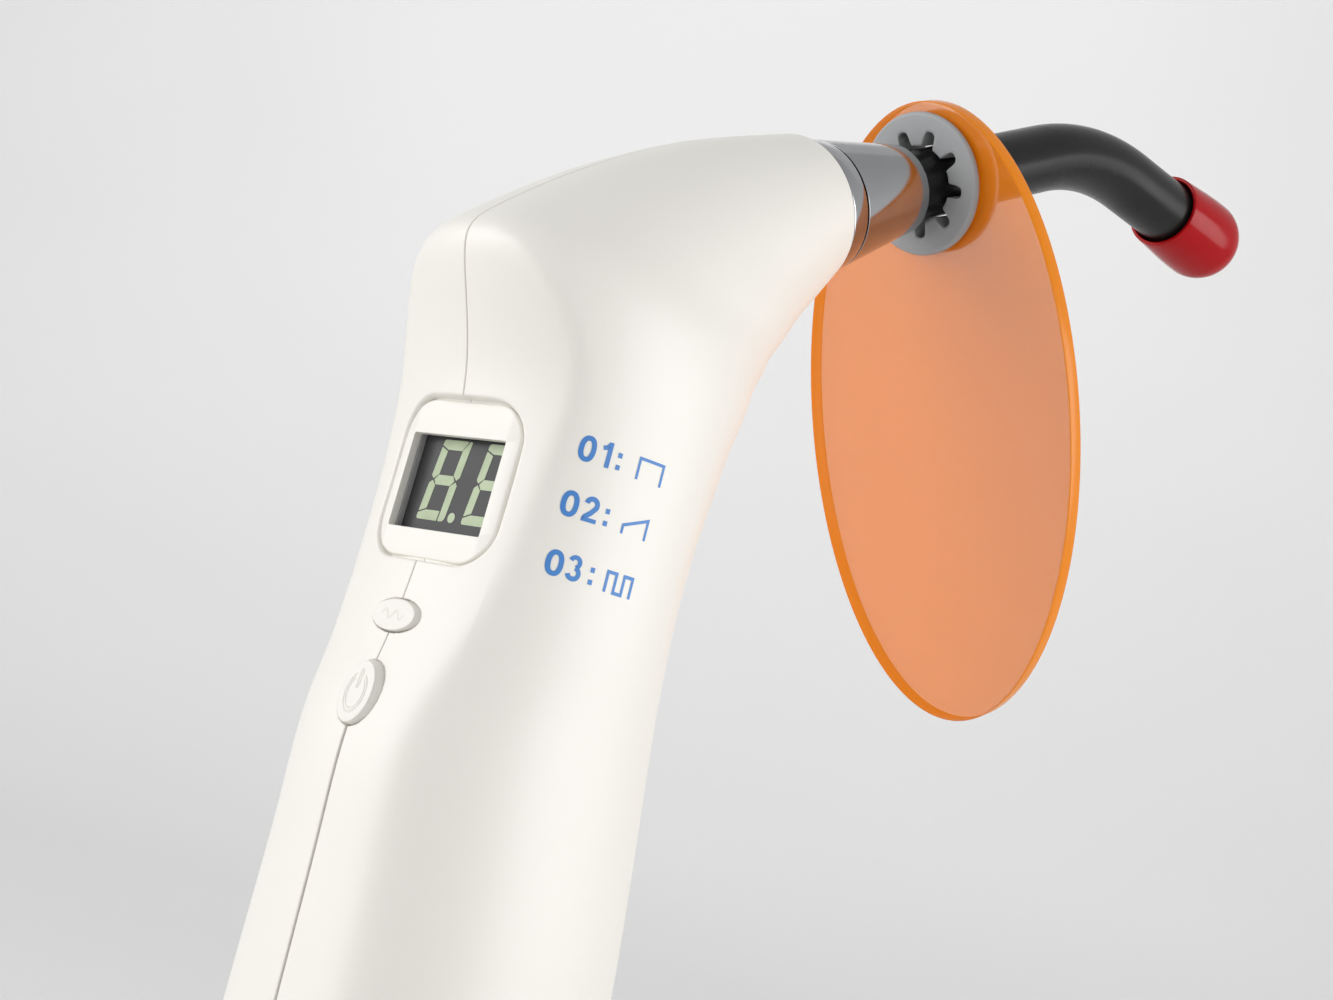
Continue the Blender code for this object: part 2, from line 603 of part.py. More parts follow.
lead("led_lead", [(-6.0, 5.0, 117.5), (-4.2, 5.4, 121.5), (-1.5, 6.4, 129.0), (-1.0, 7.9, 137.0),
                  (5.0, 8.0, 143.0), (12.2, 6.6, 149.3)], WIRE)
lead("battery_lead", [(7.5, 0.0, 77.7), (7.0, -3.6, 78.9), (3.0, -6.5, 79.3), (-3.0, -6.5, 81.0),
                      (-6.3, -6.0, 85.5)], WIRE)
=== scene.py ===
"""Looks of the cordless dental curing light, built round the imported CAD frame.

All lengths in the tables are millimetres; MM turns them into metres.  The handle stands on
its base at the origin, +X is the way the nose leans and the shell halves meet on Y = 0.
"""

import math

import bmesh
import bpy
import numpy as np
from mathutils import Matrix, Vector
from mathutils.bvhtree import BVHTree


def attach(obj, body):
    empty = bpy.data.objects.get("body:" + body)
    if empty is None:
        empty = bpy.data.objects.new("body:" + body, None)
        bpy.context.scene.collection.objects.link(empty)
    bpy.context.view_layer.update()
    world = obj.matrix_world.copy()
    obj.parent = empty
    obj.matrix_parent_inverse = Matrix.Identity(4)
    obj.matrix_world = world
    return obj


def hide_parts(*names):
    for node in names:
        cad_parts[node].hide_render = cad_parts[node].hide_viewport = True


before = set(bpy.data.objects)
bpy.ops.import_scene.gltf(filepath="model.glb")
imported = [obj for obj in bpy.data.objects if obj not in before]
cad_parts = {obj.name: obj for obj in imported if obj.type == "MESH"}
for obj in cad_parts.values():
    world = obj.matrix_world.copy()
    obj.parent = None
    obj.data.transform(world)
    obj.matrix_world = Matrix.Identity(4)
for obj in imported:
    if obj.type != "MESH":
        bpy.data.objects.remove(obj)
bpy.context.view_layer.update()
MM = 0.001

# ---------------------------------------------------------------- camera
CAMERA_AT = Vector((-0.15895, -0.17246, 0.09009))
LOOK = Vector((0.70831, 0.69540, 0.12132))
UP = Vector((-0.25014, 0.08654, 0.96434))
camera_data = bpy.data.cameras.new("camera")
camera_data.lens = 65.0
camera_data.sensor_width = 36.0
camera_data.clip_start = 0.01
camera_data.clip_end = 20.0
camera = bpy.data.objects.new("camera", camera_data)
bpy.context.scene.collection.objects.link(camera)
side = LOOK.cross(UP).normalized()
up = side.cross(LOOK).normalized()
rows = [(side[i], up[i], -LOOK.normalized()[i], CAMERA_AT[i]) for i in range(3)]
camera.matrix_world = Matrix((*rows, (0, 0, 0, 1)))
bpy.context.scene.camera = camera
bpy.context.scene.view_settings.view_transform = "Standard"

# ---------------------------------------------------------------- axes of the slanted pieces
NOSE_TILT = math.radians(27.5)
SHIELD_LEAN = math.radians(2.9)
HUB = Vector((45.4, 0.0, 165.0))          # where the shield sits on the nose axis
BEND_START, BEND_R, BEND_ANGLE, TIP_LENGTH = 21.6, 35.2, 0.54, 18.7


class Axis:
    """A point and a direction in the plane Y = 0, with the two directions square to it."""

    def __init__(self, origin, angle):
        self.o = np.array(origin, float)
        self.n = np.array((math.cos(angle), 0.0, math.sin(angle)))
        self.u = np.array((-math.sin(angle), 0.0, math.cos(angle)))
        self.v = np.array((0.0, 1.0, 0.0))

    def at(self, s, r=0.0, a=0.0):
        return self.o + s * self.n + r * (math.cos(a) * self.u + math.sin(a) * self.v)


NOSE = Axis(HUB, NOSE_TILT)
SHIELD = Axis(HUB, NOSE_TILT - SHIELD_LEAN)


def guide_point(d):
    """(s, h, turn) at distance d along the light guide's middle line from the shield plane."""
    arc = BEND_R * BEND_ANGLE
    if d <= BEND_START:
        return d, 0.0, 0.0
    if d <= BEND_START + arc:
        a = (d - BEND_START) / BEND_R
        return BEND_START + BEND_R * math.sin(a), -BEND_R * (1 - math.cos(a)), a
    s = BEND_START + BEND_R * math.sin(BEND_ANGLE)
    h = -BEND_R * (1 - math.cos(BEND_ANGLE))
    rest = d - BEND_START - arc
    return s + rest * math.cos(BEND_ANGLE), h - rest * math.sin(BEND_ANGLE), BEND_ANGLE


TIP_D = BEND_START + BEND_R * BEND_ANGLE + TIP_LENGTH
tip_s, tip_h, _ = guide_point(TIP_D)
TIP = Axis(NOSE.o + tip_s * NOSE.n + tip_h * NOSE.u, NOSE_TILT - BEND_ANGLE)


# ---------------------------------------------------------------- materials
def new_material(name, **sockets):
    mat = bpy.data.materials.new(name)
    mat.use_nodes = True
    shader = mat.node_tree.nodes["Principled BSDF"]
    for key, value in sockets.items():
        shader.inputs[key.replace("_", " ")].default_value = value
    return mat, mat.node_tree, shader


def add(tree, kind, **values):
    node = tree.nodes.new(kind)
    for key, value in values.items():
        if key in node.inputs:
            node.inputs[key].default_value = value
        else:
            setattr(node, key, value)
    return node


def noise(tree, scale, detail=3.0, rough=0.5, stretch=(1, 1, 1)):
    coord = add(tree, "ShaderNodeTexCoord")
    mapping = add(tree, "ShaderNodeMapping")
    mapping.inputs["Scale"].default_value = stretch
    tree.links.new(coord.outputs["Object"], mapping.inputs["Vector"])
    tex = add(tree, "ShaderNodeTexNoise", Scale=scale, Detail=detail, Roughness=rough)
    tree.links.new(mapping.outputs["Vector"], tex.inputs["Vector"])
    return tex


def vary_colour(tree, shader, tex, low, high, start=0.35, end=0.65):
    ramp = add(tree, "ShaderNodeValToRGB")
    ramp.color_ramp.elements[0].position = start
    ramp.color_ramp.elements[0].color = (*low, 1)
    ramp.color_ramp.elements[1].position = end
    ramp.color_ramp.elements[1].color = (*high, 1)
    tree.links.new(tex.outputs["Fac"], ramp.inputs["Fac"])
    tree.links.new(ramp.outputs["Color"], shader.inputs["Base Color"])
    return ramp


def vary_rough(tree, shader, tex, low, high):
    span = add(tree, "ShaderNodeMapRange")
    span.inputs["To Min"].default_value = low
    span.inputs["To Max"].default_value = high
    tree.links.new(tex.outputs["Fac"], span.inputs["Value"])
    tree.links.new(span.outputs["Result"], shader.inputs["Roughness"])


def bump(tree, shader, tex, strength, distance):
    node = add(tree, "ShaderNodeBump", Strength=strength, Distance=distance)
    tree.links.new(tex.outputs["Fac"], node.inputs["Height"])
    tree.links.new(node.outputs["Normal"], shader.inputs["Normal"])


def moulded(name, low, high, rough, grain=2600.0, depth=0.00002, **extra):
    """Moulded plastic: a faint tone drift, uneven gloss and a fine spark-eroded grain."""
    mat, tree, shader = new_material(name, **extra)
    vary_colour(tree, shader, noise(tree, 22.0, 2.0), low, high)
    vary_rough(tree, shader, noise(tree, 90.0, 4.0), rough - 0.05, rough + 0.05)
    bump(tree, shader, noise(tree, grain, 2.0), 0.25, depth)
    return mat


WHITE = moulded("white_shell", (0.825, 0.802, 0.745), (0.84, 0.818, 0.762), 0.42, 2400.0, 0.000008,
                Coat_Weight=0.12, Coat_Roughness=0.3)
BUTTON = moulded("white_button", (0.79, 0.77, 0.715), (0.805, 0.785, 0.73), 0.40, 2400.0, 0.000006,
                 Coat_Weight=0.1, Coat_Roughness=0.3)
FRAME_GREY = moulded("display_frame", (0.30, 0.30, 0.30), (0.35, 0.35, 0.35), 0.5)
GREY = moulded("grey_plastic", (0.30, 0.30, 0.29), (0.36, 0.36, 0.35), 0.5)
BLACKPART = moulded("black_component", (0.015, 0.015, 0.016), (0.03, 0.03, 0.03), 0.4)
RUBBER = moulded("grey_rubber", (0.335, 0.34, 0.345), (0.37, 0.375, 0.38), 0.55, 1500.0, 0.00002)
COLLET = moulded("collet_rubber", (0.03, 0.03, 0.03), (0.05, 0.05, 0.05), 0.6, 1500.0, 0.00002)
SHEATH = moulded("black_sheath", (0.006, 0.006, 0.006), (0.010, 0.010, 0.010), 0.27, 1800.0,
                 0.000006, Specular_IOR_Level=0.22)
BLUE_INK = moulded("blue_ink", (0.045, 0.20, 0.55), (0.055, 0.23, 0.60), 0.45)
CELL_BLUE = moulded("cell_sleeve", (0.03, 0.10, 0.36), (0.04, 0.13, 0.42), 0.3)
WIRE_RED = moulded("wire_red", (0.45, 0.02, 0.02), (0.55, 0.03, 0.03), 0.45)


def metal(name, colour, low, high, scale=500.0, stretch=(1, 1, 1)):
    mat, tree, shader = new_material(name, Metallic=1.0)
    dark = tuple(c * 0.94 for c in colour)
    vary_colour(tree, shader, noise(tree, scale / 4, 3.0, 0.5, stretch), dark, colour)
    vary_rough(tree, shader, noise(tree, scale, 4.0, 0.6, stretch), low, high)
    return mat


CHROME = metal("chrome", (0.44, 0.45, 0.46), 0.07, 0.13)
STEEL = metal("steel", (0.62, 0.62, 0.60), 0.22, 0.36, 900.0)
ALU = metal("aluminium", (0.72, 0.73, 0.74), 0.30, 0.42, 900.0)
GOLD = metal("gold_contact", (0.85, 0.62, 0.25), 0.18, 0.30, 900.0)
MIRROR = metal("reflector", (0.88, 0.89, 0.90), 0.03, 0.08)


def board_material():
    mat, tree, shader = new_material("board_green")
    tex = add(tree, "ShaderNodeTexVoronoi", Scale=420.0, feature="DISTANCE_TO_EDGE")
    coord = add(tree, "ShaderNodeTexCoord")
    tree.links.new(coord.outputs["Object"], tex.inputs["Vector"])
    ramp = add(tree, "ShaderNodeValToRGB")
    ramp.color_ramp.elements[0].position = 0.06
    ramp.color_ramp.elements[0].color = (0.05, 0.34, 0.14, 1)
    ramp.color_ramp.elements[1].position = 0.09
    ramp.color_ramp.elements[1].color = (0.01, 0.14, 0.05, 1)
    tree.links.new(tex.outputs["Distance"], ramp.inputs["Fac"])
    tree.links.new(ramp.outputs["Color"], shader.inputs["Base Color"])
    vary_rough(tree, shader, noise(tree, 300.0), 0.3, 0.4)
    return mat


BOARD = board_material()


def display_materials():
    glass, tree, shader = new_material("display_glass", Specular_IOR_Level=0.25)
    vary_colour(tree, shader, noise(tree, 60.0, 2.0), (0.040, 0.040, 0.042), (0.050, 0.050, 0.053))
    vary_rough(tree, shader, noise(tree, 200.0), 0.28, 0.36)
    lit, tree, shader = new_material("display_segment")
    vary_colour(tree, shader, noise(tree, 400.0, 2.0), (0.40, 0.48, 0.30), (0.46, 0.54, 0.36))
    vary_rough(tree, shader, noise(tree, 300.0), 0.45, 0.55)
    return glass, lit


LCD, SEGMENT = display_materials()


def clear_plastic(name, colour, rough, transmit, ior=1.45, **extra):
    mat, tree, shader = new_material(name, Transmission_Weight=transmit, IOR=ior, **extra)
    dim = tuple(c * 0.97 for c in colour)
    vary_colour(tree, shader, noise(tree, 30.0, 2.0), dim, colour)
    vary_rough(tree, shader, noise(tree, 150.0, 3.0), max(rough - 0.03, 0.0), rough + 0.03)
    return mat


ORANGE = clear_plastic("orange_plate", (0.93, 0.27, 0.006), 0.12, 0.0, Alpha=0.58,
                       Specular_IOR_Level=0.35)
ORANGE_RIM = clear_plastic("orange_rim", (0.80, 0.235, 0.006), 0.20, 0.0, Alpha=1.0,
                           Specular_IOR_Level=0.25)
RED = clear_plastic("red_cap", (0.38, 0.003, 0.006), 0.14, 0.0, 1.45, Specular_IOR_Level=0.16)
FIBRE = clear_plastic("glass_fibre", (0.82, 0.86, 0.88), 0.1, 0.7, 1.5)


# ---------------------------------------------------------------- mesh helpers
def piece(name, verts, faces, mat, body, replaces=(), sharp=30.0):
    """A mesh piece from points in millimetres, riding on a body."""
    mesh = bpy.data.meshes.new(name)
    mesh.from_pydata([tuple(v) for v in np.asarray(verts, float) * MM], [], faces)
    bm = bmesh.new()
    bm.from_mesh(mesh)
    bmesh.ops.recalc_face_normals(bm, faces=bm.faces)
    bm.to_mesh(mesh)
    bm.free()
    mesh.shade_smooth()
    if sharp:
        mesh.set_sharp_from_angle(angle=math.radians(sharp))
    obj = bpy.data.objects.new(name, mesh)
    bpy.context.scene.collection.objects.link(obj)
    obj.data.materials.append(mat)
    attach(obj, body)
    if replaces:
        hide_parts(*replaces)
    return obj


def fillet(points, radii, steps=6, closed=True):
    """Rounds the corners of a 2D outline; radii is one number or one per point."""
    n = len(points)
    if not hasattr(radii, "__len__"):
        radii = [radii] * n
    out = []
    for i in range(n):
        p = np.array(points[i], float)
        if radii[i] <= 0 or (not closed and i in (0, n - 1)):
            out.append(tuple(p))
            continue
        a = np.array(points[i - 1], float) - p
        b = np.array(points[(i + 1) % n], float) - p
        la, lb = np.linalg.norm(a), np.linalg.norm(b)
        a, b = a / la, b / lb
        half = 0.5 * math.acos(max(-1.0, min(1.0, float(a @ b))))
        if half > math.radians(88):
            out.append(tuple(p))
            continue
        cut = min(radii[i] / math.tan(half), 0.48 * la, 0.48 * lb)
        r = cut * math.tan(half)
        centre = p + (a + b) / np.linalg.norm(a + b) * (r / math.sin(half))
        start, stop = p + a * cut - centre, p + b * cut - centre
        a0 = math.atan2(start[1], start[0])
        turn = math.atan2(start[0] * stop[1] - start[1] * stop[0], float(start @ stop))
        for k in range(steps + 1):
            t = a0 + turn * k / steps
            out.append((centre[0] + r * math.cos(t), centre[1] + r * math.sin(t)))
    return out


def lathe_mesh(axis, profile, around=128, closed=True):
    """Points and faces of a profile of (radius, distance) turned about an axis."""
    verts, faces, rings = [], [], []
    for r, s in profile:
        if r < 1e-6:
            rings.append([len(verts)])
            verts.append(axis.at(s))
        else:
            rings.append(list(range(len(verts), len(verts) + around)))
            verts += [axis.at(s, r, 2 * math.pi * k / around) for k in range(around)]
    pairs = list(zip(rings, rings[1:])) + ([(rings[-1], rings[0])] if closed else [])
    for a, b in pairs:
        for k in range(around):
            j = (k + 1) % around
            if len(a) == 1 and len(b) == 1:
                continue
            if len(a) == 1:
                faces.append((a[0], b[j], b[k]))
            elif len(b) == 1:
                faces.append((a[k], a[j], b[0]))
            else:
                faces.append((a[k], a[j], b[j], b[k]))
    return verts, faces


def join(parts):
    """One point list and face list from several."""
    verts, faces = [], []
    for v, f in parts:
        base = len(verts)
        verts += list(v)
        faces += [tuple(i + base for i in face) for face in f]
    return verts, faces


def loops_mesh(loops, cap_first=False, cap_last=False, wrap=False):
    """Faces between closed loops that all have the same number of points."""
    n = len(loops[0])
    verts = [p for loop in loops for p in loop]
    faces = []
    count = len(loops)
    for i in range(count if wrap else count - 1):
        a, b = i * n, ((i + 1) % count) * n
        faces += [(a + k, a + (k + 1) % n, b + (k + 1) % n, b + k) for k in range(n)]
    if cap_first:
        faces.append(tuple(range(n))[::-1])
    if cap_last:
        faces.append(tuple(range((count - 1) * n, count * n)))
    return verts, faces


# ---------------------------------------------------------------- handle and head
# back (x, z), front (x, z), half width, front roundness, side roundness, side reach past the
# back, radius of the back face across, softness of the crease beside the back face
ROWS = np.array([
    (-16.2, 3.0, 17.0, 3.0, 15.0, 2.5, 2.35, 1.0, 45, 2.6),
    (-16.9, 14.0, 18.0, 14.0, 15.8, 2.5, 2.35, 1.0, 45, 2.6),
    (-17.1, 40.0, 18.4, 40.0, 16.0, 2.5, 2.35, 1.0, 45, 2.6),
    (-17.1, 66.0, 18.2, 66.0, 15.6, 2.5, 2.35, 1.0, 45, 2.6),
    (-17.1, 80.0, 17.4, 80.0, 15.0, 2.5, 2.3, 1.0, 45, 2.5),
    (-17.0, 90.0, 16.3, 90.0, 14.6, 2.5, 2.3, 1.2, 48, 2.3),
    (-15.4, 97.0, 15.1, 97.0, 14.6, 2.5, 2.3, 1.7, 46, 2.0),
    (-14.1, 104.0, 14.1, 104.0, 14.8, 2.5, 2.3, 2.3, 38, 1.6),
    (-13.4, 111.0, 13.8, 110.5, 14.9, 2.5, 2.3, 2.9, 35, 1.3),
    (-13.1, 117.5, 14.2, 116.0, 15.0, 2.5, 2.3, 3.6, 35, 1.1),
    (-13.4, 123.5, 15.2, 120.8, 15.1, 2.4, 2.3, 4.6, 31, 0.9),
    (-14.7, 128.5, 16.5, 125.0, 15.2, 2.3, 2.3, 4.2, 27, 0.9),
    (-16.5, 133.0, 17.9, 128.6, 15.0, 2.3, 2.3, 2.4, 26, 1.0),
    (-17.7, 136.5, 19.2, 131.6, 14.6, 2.2, 2.3, 0.7, 28, 1.3),
    (-17.2, 138.8, 20.4, 133.8, 14.0, 2.2, 2.3, 0.0, 30, 1.4),
    (-14.6, 141.3, 21.6, 135.8, 13.3, 2.1, 2.2, 0.0, 30, 1.3),
    (-9.5, 145.3, 23.2, 138.2, 12.4, 2.1, 2.15, 0.0, 30, 1.0),
    (-2.5, 150.1, 25.1, 140.9, 11.2, 2.0, 2.1, 0.0, 30, 0.6),
    (6.3, 155.2, 26.9, 143.5, 10.0, 2.0, 2.0, 0.0, 30, 0.3),
    (14.5, 159.0, 28.3, 145.6, 9.0, 2.0, 2.0, 0.0, 30, 0.2),
    (21.7, 162.0, 29.3, 147.4, 8.24, 2.0, 2.0, 0.0, 30, 0.1),
], float)
BEZEL_W, BEZEL_H, BEZEL_CORNER, BEZEL_Z = 16.4, 15.6, 3.9, 114.55
BEZEL_X = -12.6                           # outer face of the display surround
DISPLAY_LEAN, DISPLAY_MID = 0.045, 114.2  # the display's foot stands further out than its top
MODE = dict(z=101.0, y=3.25, h=1.6, top_y=2.98, top_h=1.55, face=-14.9, lean=10.5)
POWER = dict(z=93.3, y=2.6, h=3.15, top_y=2.2, top_h=3.02, face=-16.95, lean=9.5)
FINE_Z = (87.5, 124.5)                    # height of the densely meshed band
FINE = 0.13


def cubic(values, u):
    """Natural cubic spline through rows of values, read at row positions u."""
    n = len(values)
    lhs = np.eye(n)
    rhs = np.zeros_like(values)
    for i in range(1, n - 1):
        lhs[i, i - 1:i + 2] = (1, 4, 1)
        rhs[i] = 6 * (values[i + 1] - 2 * values[i] + values[i - 1])
    bend = np.linalg.solve(lhs, rhs)
    i = np.clip(np.floor(u).astype(int), 0, n - 2)
    t = (u - i)[:, None]
    a, b = values[i], values[i + 1]
    return ((1 - t) * a + t * b + ((1 - t) ** 3 - (1 - t)) * bend[i] / 6
            + (t ** 3 - t) * bend[i + 1] / 6)


def row_positions():
    u = np.linspace(0, len(ROWS) - 1, 6001)
    back = cubic(ROWS[:, :2], u)
    step = np.hypot(*np.diff(back, axis=0).T)
    run = np.concatenate([[0], np.cumsum(step)])
    out, s = [0.0], 0.0
    while s < run[-1]:
        z = float(np.interp(s, run, back[:, 1]))
        x = float(np.interp(s, run, back[:, 0]))
        s += FINE if FINE_Z[0] < z < FINE_Z[1] and x < -10 else 0.7
        out.append(float(np.interp(min(s, run[-1]), run, u)))
    edge = float(np.interp(run[-1] - 0.25, run, u)), float(np.interp(run[-1] - 0.1, run, u))
    out = [v for v in out if v < edge[0] - 0.01] + [edge[0], edge[1], float(len(ROWS) - 1)]
    return np.array(out)


EDGE_STOPS = [0.0, 0.02, 0.06, 0.12, 0.2, 0.3]


def section(row, columns=38):
    """Half a section: distance from the back along the chord, and half width, as polylines."""
    bx, bz, fx, fz, half, p_front, p_side, reach, arc, soft = row
    length = math.hypot(fx - bx, fz - bz)
    h = length / 2
    reach = max(reach, 0.0)
    a = np.linspace(0, math.pi / 2, 400)
    side_x = h - (h + reach) * np.cos(a) ** (2 / p_side)
    side_y = half * np.sin(a) ** (2 / p_side)
    keep = side_x > side_y ** 2 / (2 * arc)
    first = int(np.argmax(keep))
    corner = side_y[first]
    back_y = np.linspace(0, corner, 80)[:-1]
    xs = np.concatenate([back_y ** 2 / (2 * arc), side_x[first:],
                         h + h * np.sin(a[1:]) ** (2 / p_front)])
    ys = np.concatenate([back_y, side_y[first:], half * np.cos(a[1:]) ** (2 / p_front)])
    if not keep[0] and reach <= 0.0:
        xs = np.concatenate([side_x, h + h * np.sin(a[1:]) ** (2 / p_front)])
        ys = np.concatenate([side_y, half * np.cos(a[1:]) ** (2 / p_front)])
    run = np.concatenate([[0], np.cumsum(np.hypot(np.diff(xs), np.diff(ys)))])
    fine = np.arange(0, run[-1], 0.08)
    fine = np.append(fine, run[-1])
    xs, ys = np.interp(fine, run, xs), np.interp(fine, run, ys)
    n = len(fine)
    wide_x = np.concatenate([xs[::-1][:-1], xs, xs[::-1][1:]])
    wide_y = np.concatenate([-ys[::-1][:-1], ys, -ys[::-1][1:]])
    reach_n = int(3 * soft / 0.08) + 1
    kernel = np.exp(-0.5 * (np.arange(-reach_n, reach_n + 1) * 0.08 / max(soft * 0.6, 0.05)) ** 2)
    kernel /= kernel.sum()
    smooth_x = np.convolve(wide_x, kernel, "same")[n - 1:2 * n - 1]
    smooth_y = np.convolve(wide_y, kernel, "same")[n - 1:2 * n - 1]
    smooth_y[0] = smooth_y[-1] = 0.0
    run = np.concatenate([[0], np.cumsum(np.hypot(np.diff(smooth_x), np.diff(smooth_y)))])
    near = EDGE_STOPS + list(np.arange(EDGE_STOPS[-1] + FINE, 9.6, FINE))
    far = [run[-1] - s for s in EDGE_STOPS[::-1]]
    stops = np.array(near + list(np.linspace(near[-1], far[0], columns + 1)[1:-1]) + far)
    return np.interp(stops, run, smooth_x), np.interp(stops, run, smooth_y), stops, run[-1]


def rounded_rect_distance(y, z, w, h, r):
    qx, qz = np.abs(y) - (w / 2 - r), np.abs(z) - (h / 2 - r)
    outside = np.hypot(np.maximum(qx, 0), np.maximum(qz, 0))
    return outside + np.minimum(np.maximum(qx, qz), 0) - r


def ellipse_distance(y, z, a, b):
    k = np.hypot(y / a, z / b)
    slope = np.hypot(y / a ** 2, z / b ** 2) + 1e-9
    return (k - 1) * k / slope


def lip(distance, r):
    """Depth below the skin at a distance outside an edge with a rounding of radius r."""
    d = np.clip(distance, 0, r)
    return r - np.sqrt(np.maximum(r * r - (r - d) ** 2, 0))


def shell_grid():
    """Points of the +Y half, the unit normals, and each point's distance to both seams."""
    us = row_positions()
    table = cubic(ROWS, us)
    points, from_back, from_front = [], [], []
    for row in table:
        xs, ys, stops, total = section(row)
        chord = np.array((row[2] - row[0], 0, row[3] - row[1]))
        chord /= np.linalg.norm(chord)
        line = np.array((row[0], 0, row[1])) + xs[:, None] * chord
        line[:, 1] = ys
        points.append(line)
        from_back.append(stops)
        from_front.append(total - stops)
    points = np.array(points)
    along = np.gradient(points, axis=0)
    across = np.gradient(points, axis=1)
    normal = np.cross(across, along)
    normal /= np.linalg.norm(normal, axis=2, keepdims=True) + 1e-12
    normal[:, 0, 1] = normal[:, -1, 1] = 0
    probe = points[20, 30]
    if (probe - np.array((0.5, 0, probe[2]))) @ normal[20, 30] < 0:
        normal = -normal
    return points, normal, np.array(from_back), np.array(from_front)


GRID, NORMAL, FROM_BACK, FROM_FRONT = shell_grid()


def shell(name, sign, body, replaces):
    points, z, y = GRID.copy(), GRID[:, :, 2], GRID[:, :, 1]
    groove = np.where(z < 90.2, 0.36, 0.2)
    gap = np.where(z < 90.2, 0.15, 0.05)
    depth = np.maximum(lip(FROM_BACK, groove), lip(FROM_FRONT, groove))
    on_back = GRID[:, :, 0] < -7
    spots = [(rounded_rect_distance(y, z - BEZEL_Z, BEZEL_W + 0.5, BEZEL_H + 0.4,
                                    BEZEL_CORNER + 0.2),
              0.32, 0.6, 0.8)]
    for b in (MODE, POWER):
        spots.append((ellipse_distance(y, z - b["z"], b["y"] + 0.08, b["h"] + 0.08), 0.11, 0.6, 0.3))
    cut = np.zeros(z.shape, bool)
    for distance, r, floor, ledge in spots:
        distance = np.where(on_back, distance, 50)
        wall = np.where(distance < 0, r + np.minimum(-distance * 9.0, floor), lip(distance, r))
        depth = np.maximum(depth, wall)
        cut |= distance < -ledge
    points -= NORMAL * depth[:, :, None]
    surround = rounded_rect_distance(y, z - BEZEL_Z, BEZEL_W + 0.3, BEZEL_H + 0.2,
                                     BEZEL_CORNER + 0.1)
    under = on_back & (surround < 0)
    points[under, 0] = np.maximum(points[under, 0], BEZEL_X + 0.12
                                  + DISPLAY_LEAN * (points[under, 2] - DISPLAY_MID))
    points[:, :, 1] = np.maximum(points[:, :, 1], gap)
    # seam flanges, nose rim and foot turned inwards
    first, last = points[:, :1].copy(), points[:, -1:].copy()
    first -= NORMAL[:, :1] * 1.6
    last -= NORMAL[:, -1:] * 1.6
    full = np.concatenate([first, points, last], axis=1)
    inward = np.concatenate([NORMAL[:, :1], NORMAL, NORMAL[:, -1:]], axis=1)
    cut = np.pad(cut, ((0, 0), (1, 1)), mode="edge")
    end = full[-1:].copy()
    full[-1:] -= 0.22 * inward[-1:]
    full[-2:-1] -= 0.04 * inward[-2:-1]
    turned_in = end - 1.9 * inward[-1:] - 0.05 * NOSE.n
    deeper = turned_in - 3.0 * NOSE.n
    foot = full[:1] - 1.9 * inward[:1]
    full = np.concatenate([foot, full, turned_in, deeper], axis=0)
    cut = np.pad(cut, ((1, 2), (0, 0)), mode="edge")
    full[:, :, 1] = np.maximum(full[:, :, 1], 0.05) * sign
    m, n = full.shape[:2]
    faces = []
    for i in range(m - 1):
        for j in range(n - 1):
            if cut[i, j] and cut[i + 1, j] and cut[i, j + 1] and cut[i + 1, j + 1]:
                continue
            a, b = i * n + j, i * n + j + 1
            faces.append((a, b, b + n, a + n) if sign > 0 else (a, a + n, b + n, b))
    obj = piece(name, full.reshape(-1, 3), faces, WHITE, body, replaces, 50.0)
    bm = bmesh.new()
    bm.from_mesh(obj.data)
    loose = [v for v in bm.verts if not v.link_faces]
    bmesh.ops.delete(bm, geom=loose, context="VERTS")
    bm.to_mesh(obj.data)
    bm.free()
    return obj


shell("left_shell_skin", 1, "handpiece", ["left_shell"])
right_skin = shell("right_shell_skin", -1, "handpiece", ["right_shell"])


# ---------------------------------------------------------------- base cap
def base_outline(shrink, z):
    xs, ys, _, _ = section(cubic(ROWS, np.array([0.0]))[0])
    row = ROWS[0]
    mid = (row[0] + row[2]) / 2
    xs = row[0] + xs
    pick = list(range(0, len(xs), 2)) + [len(xs) - 1]
    loop = [(x, y) for x, y in zip(xs[pick], ys[pick])]
    loop += [(x, -y) for x, y in loop[-2:0:-1]]
    pts = np.array(loop)
    tangent = np.roll(pts, -1, axis=0) - np.roll(pts, 1, axis=0)
    normal = np.stack([tangent[:, 1], -tangent[:, 0]], 1)
    normal /= np.linalg.norm(normal, axis=1, keepdims=True) + 1e-12
    if ((pts - (mid, 0)) * normal).sum() < 0:
        normal = -normal
    pts = pts - normal * shrink
    return [(x, y, z) for x, y in pts]


def base_cap():
    profile = fillet([(9.0, 0.35), (2.2, 0.35), (2.2, 0.0), (0.06, 0.0), (0.06, 2.75),
                      (0.5, 2.75), (2.6, 2.75), (2.6, 6.8)],
                     [0, 0.2, 0.3, 1.1, 0.25, 0, 0, 0.3], 6, False)
    loops = [base_outline(shrink, z) for shrink, z in profile[1:]]
    verts, faces = loops_mesh(loops, True, True)
    return piece("base_cap_skin", verts, faces, WHITE, "handpiece", ["base_cap"])


base_cap()


# ---------------------------------------------------------------- display
def rounded_loop(w, h, r, x, zc, n=25):
    pts = []
    for sy, sz, start in ((1, 1, 0), (-1, 1, 90), (-1, -1, 180), (1, -1, 270)):
        for k in range(n):
            a = math.radians(start + 90 * k / (n - 1))
            pts.append((x, sy * (w / 2 - r) + r * math.cos(a),
                        zc + sz * (h / 2 - r) + r * math.sin(a)))
    return pts


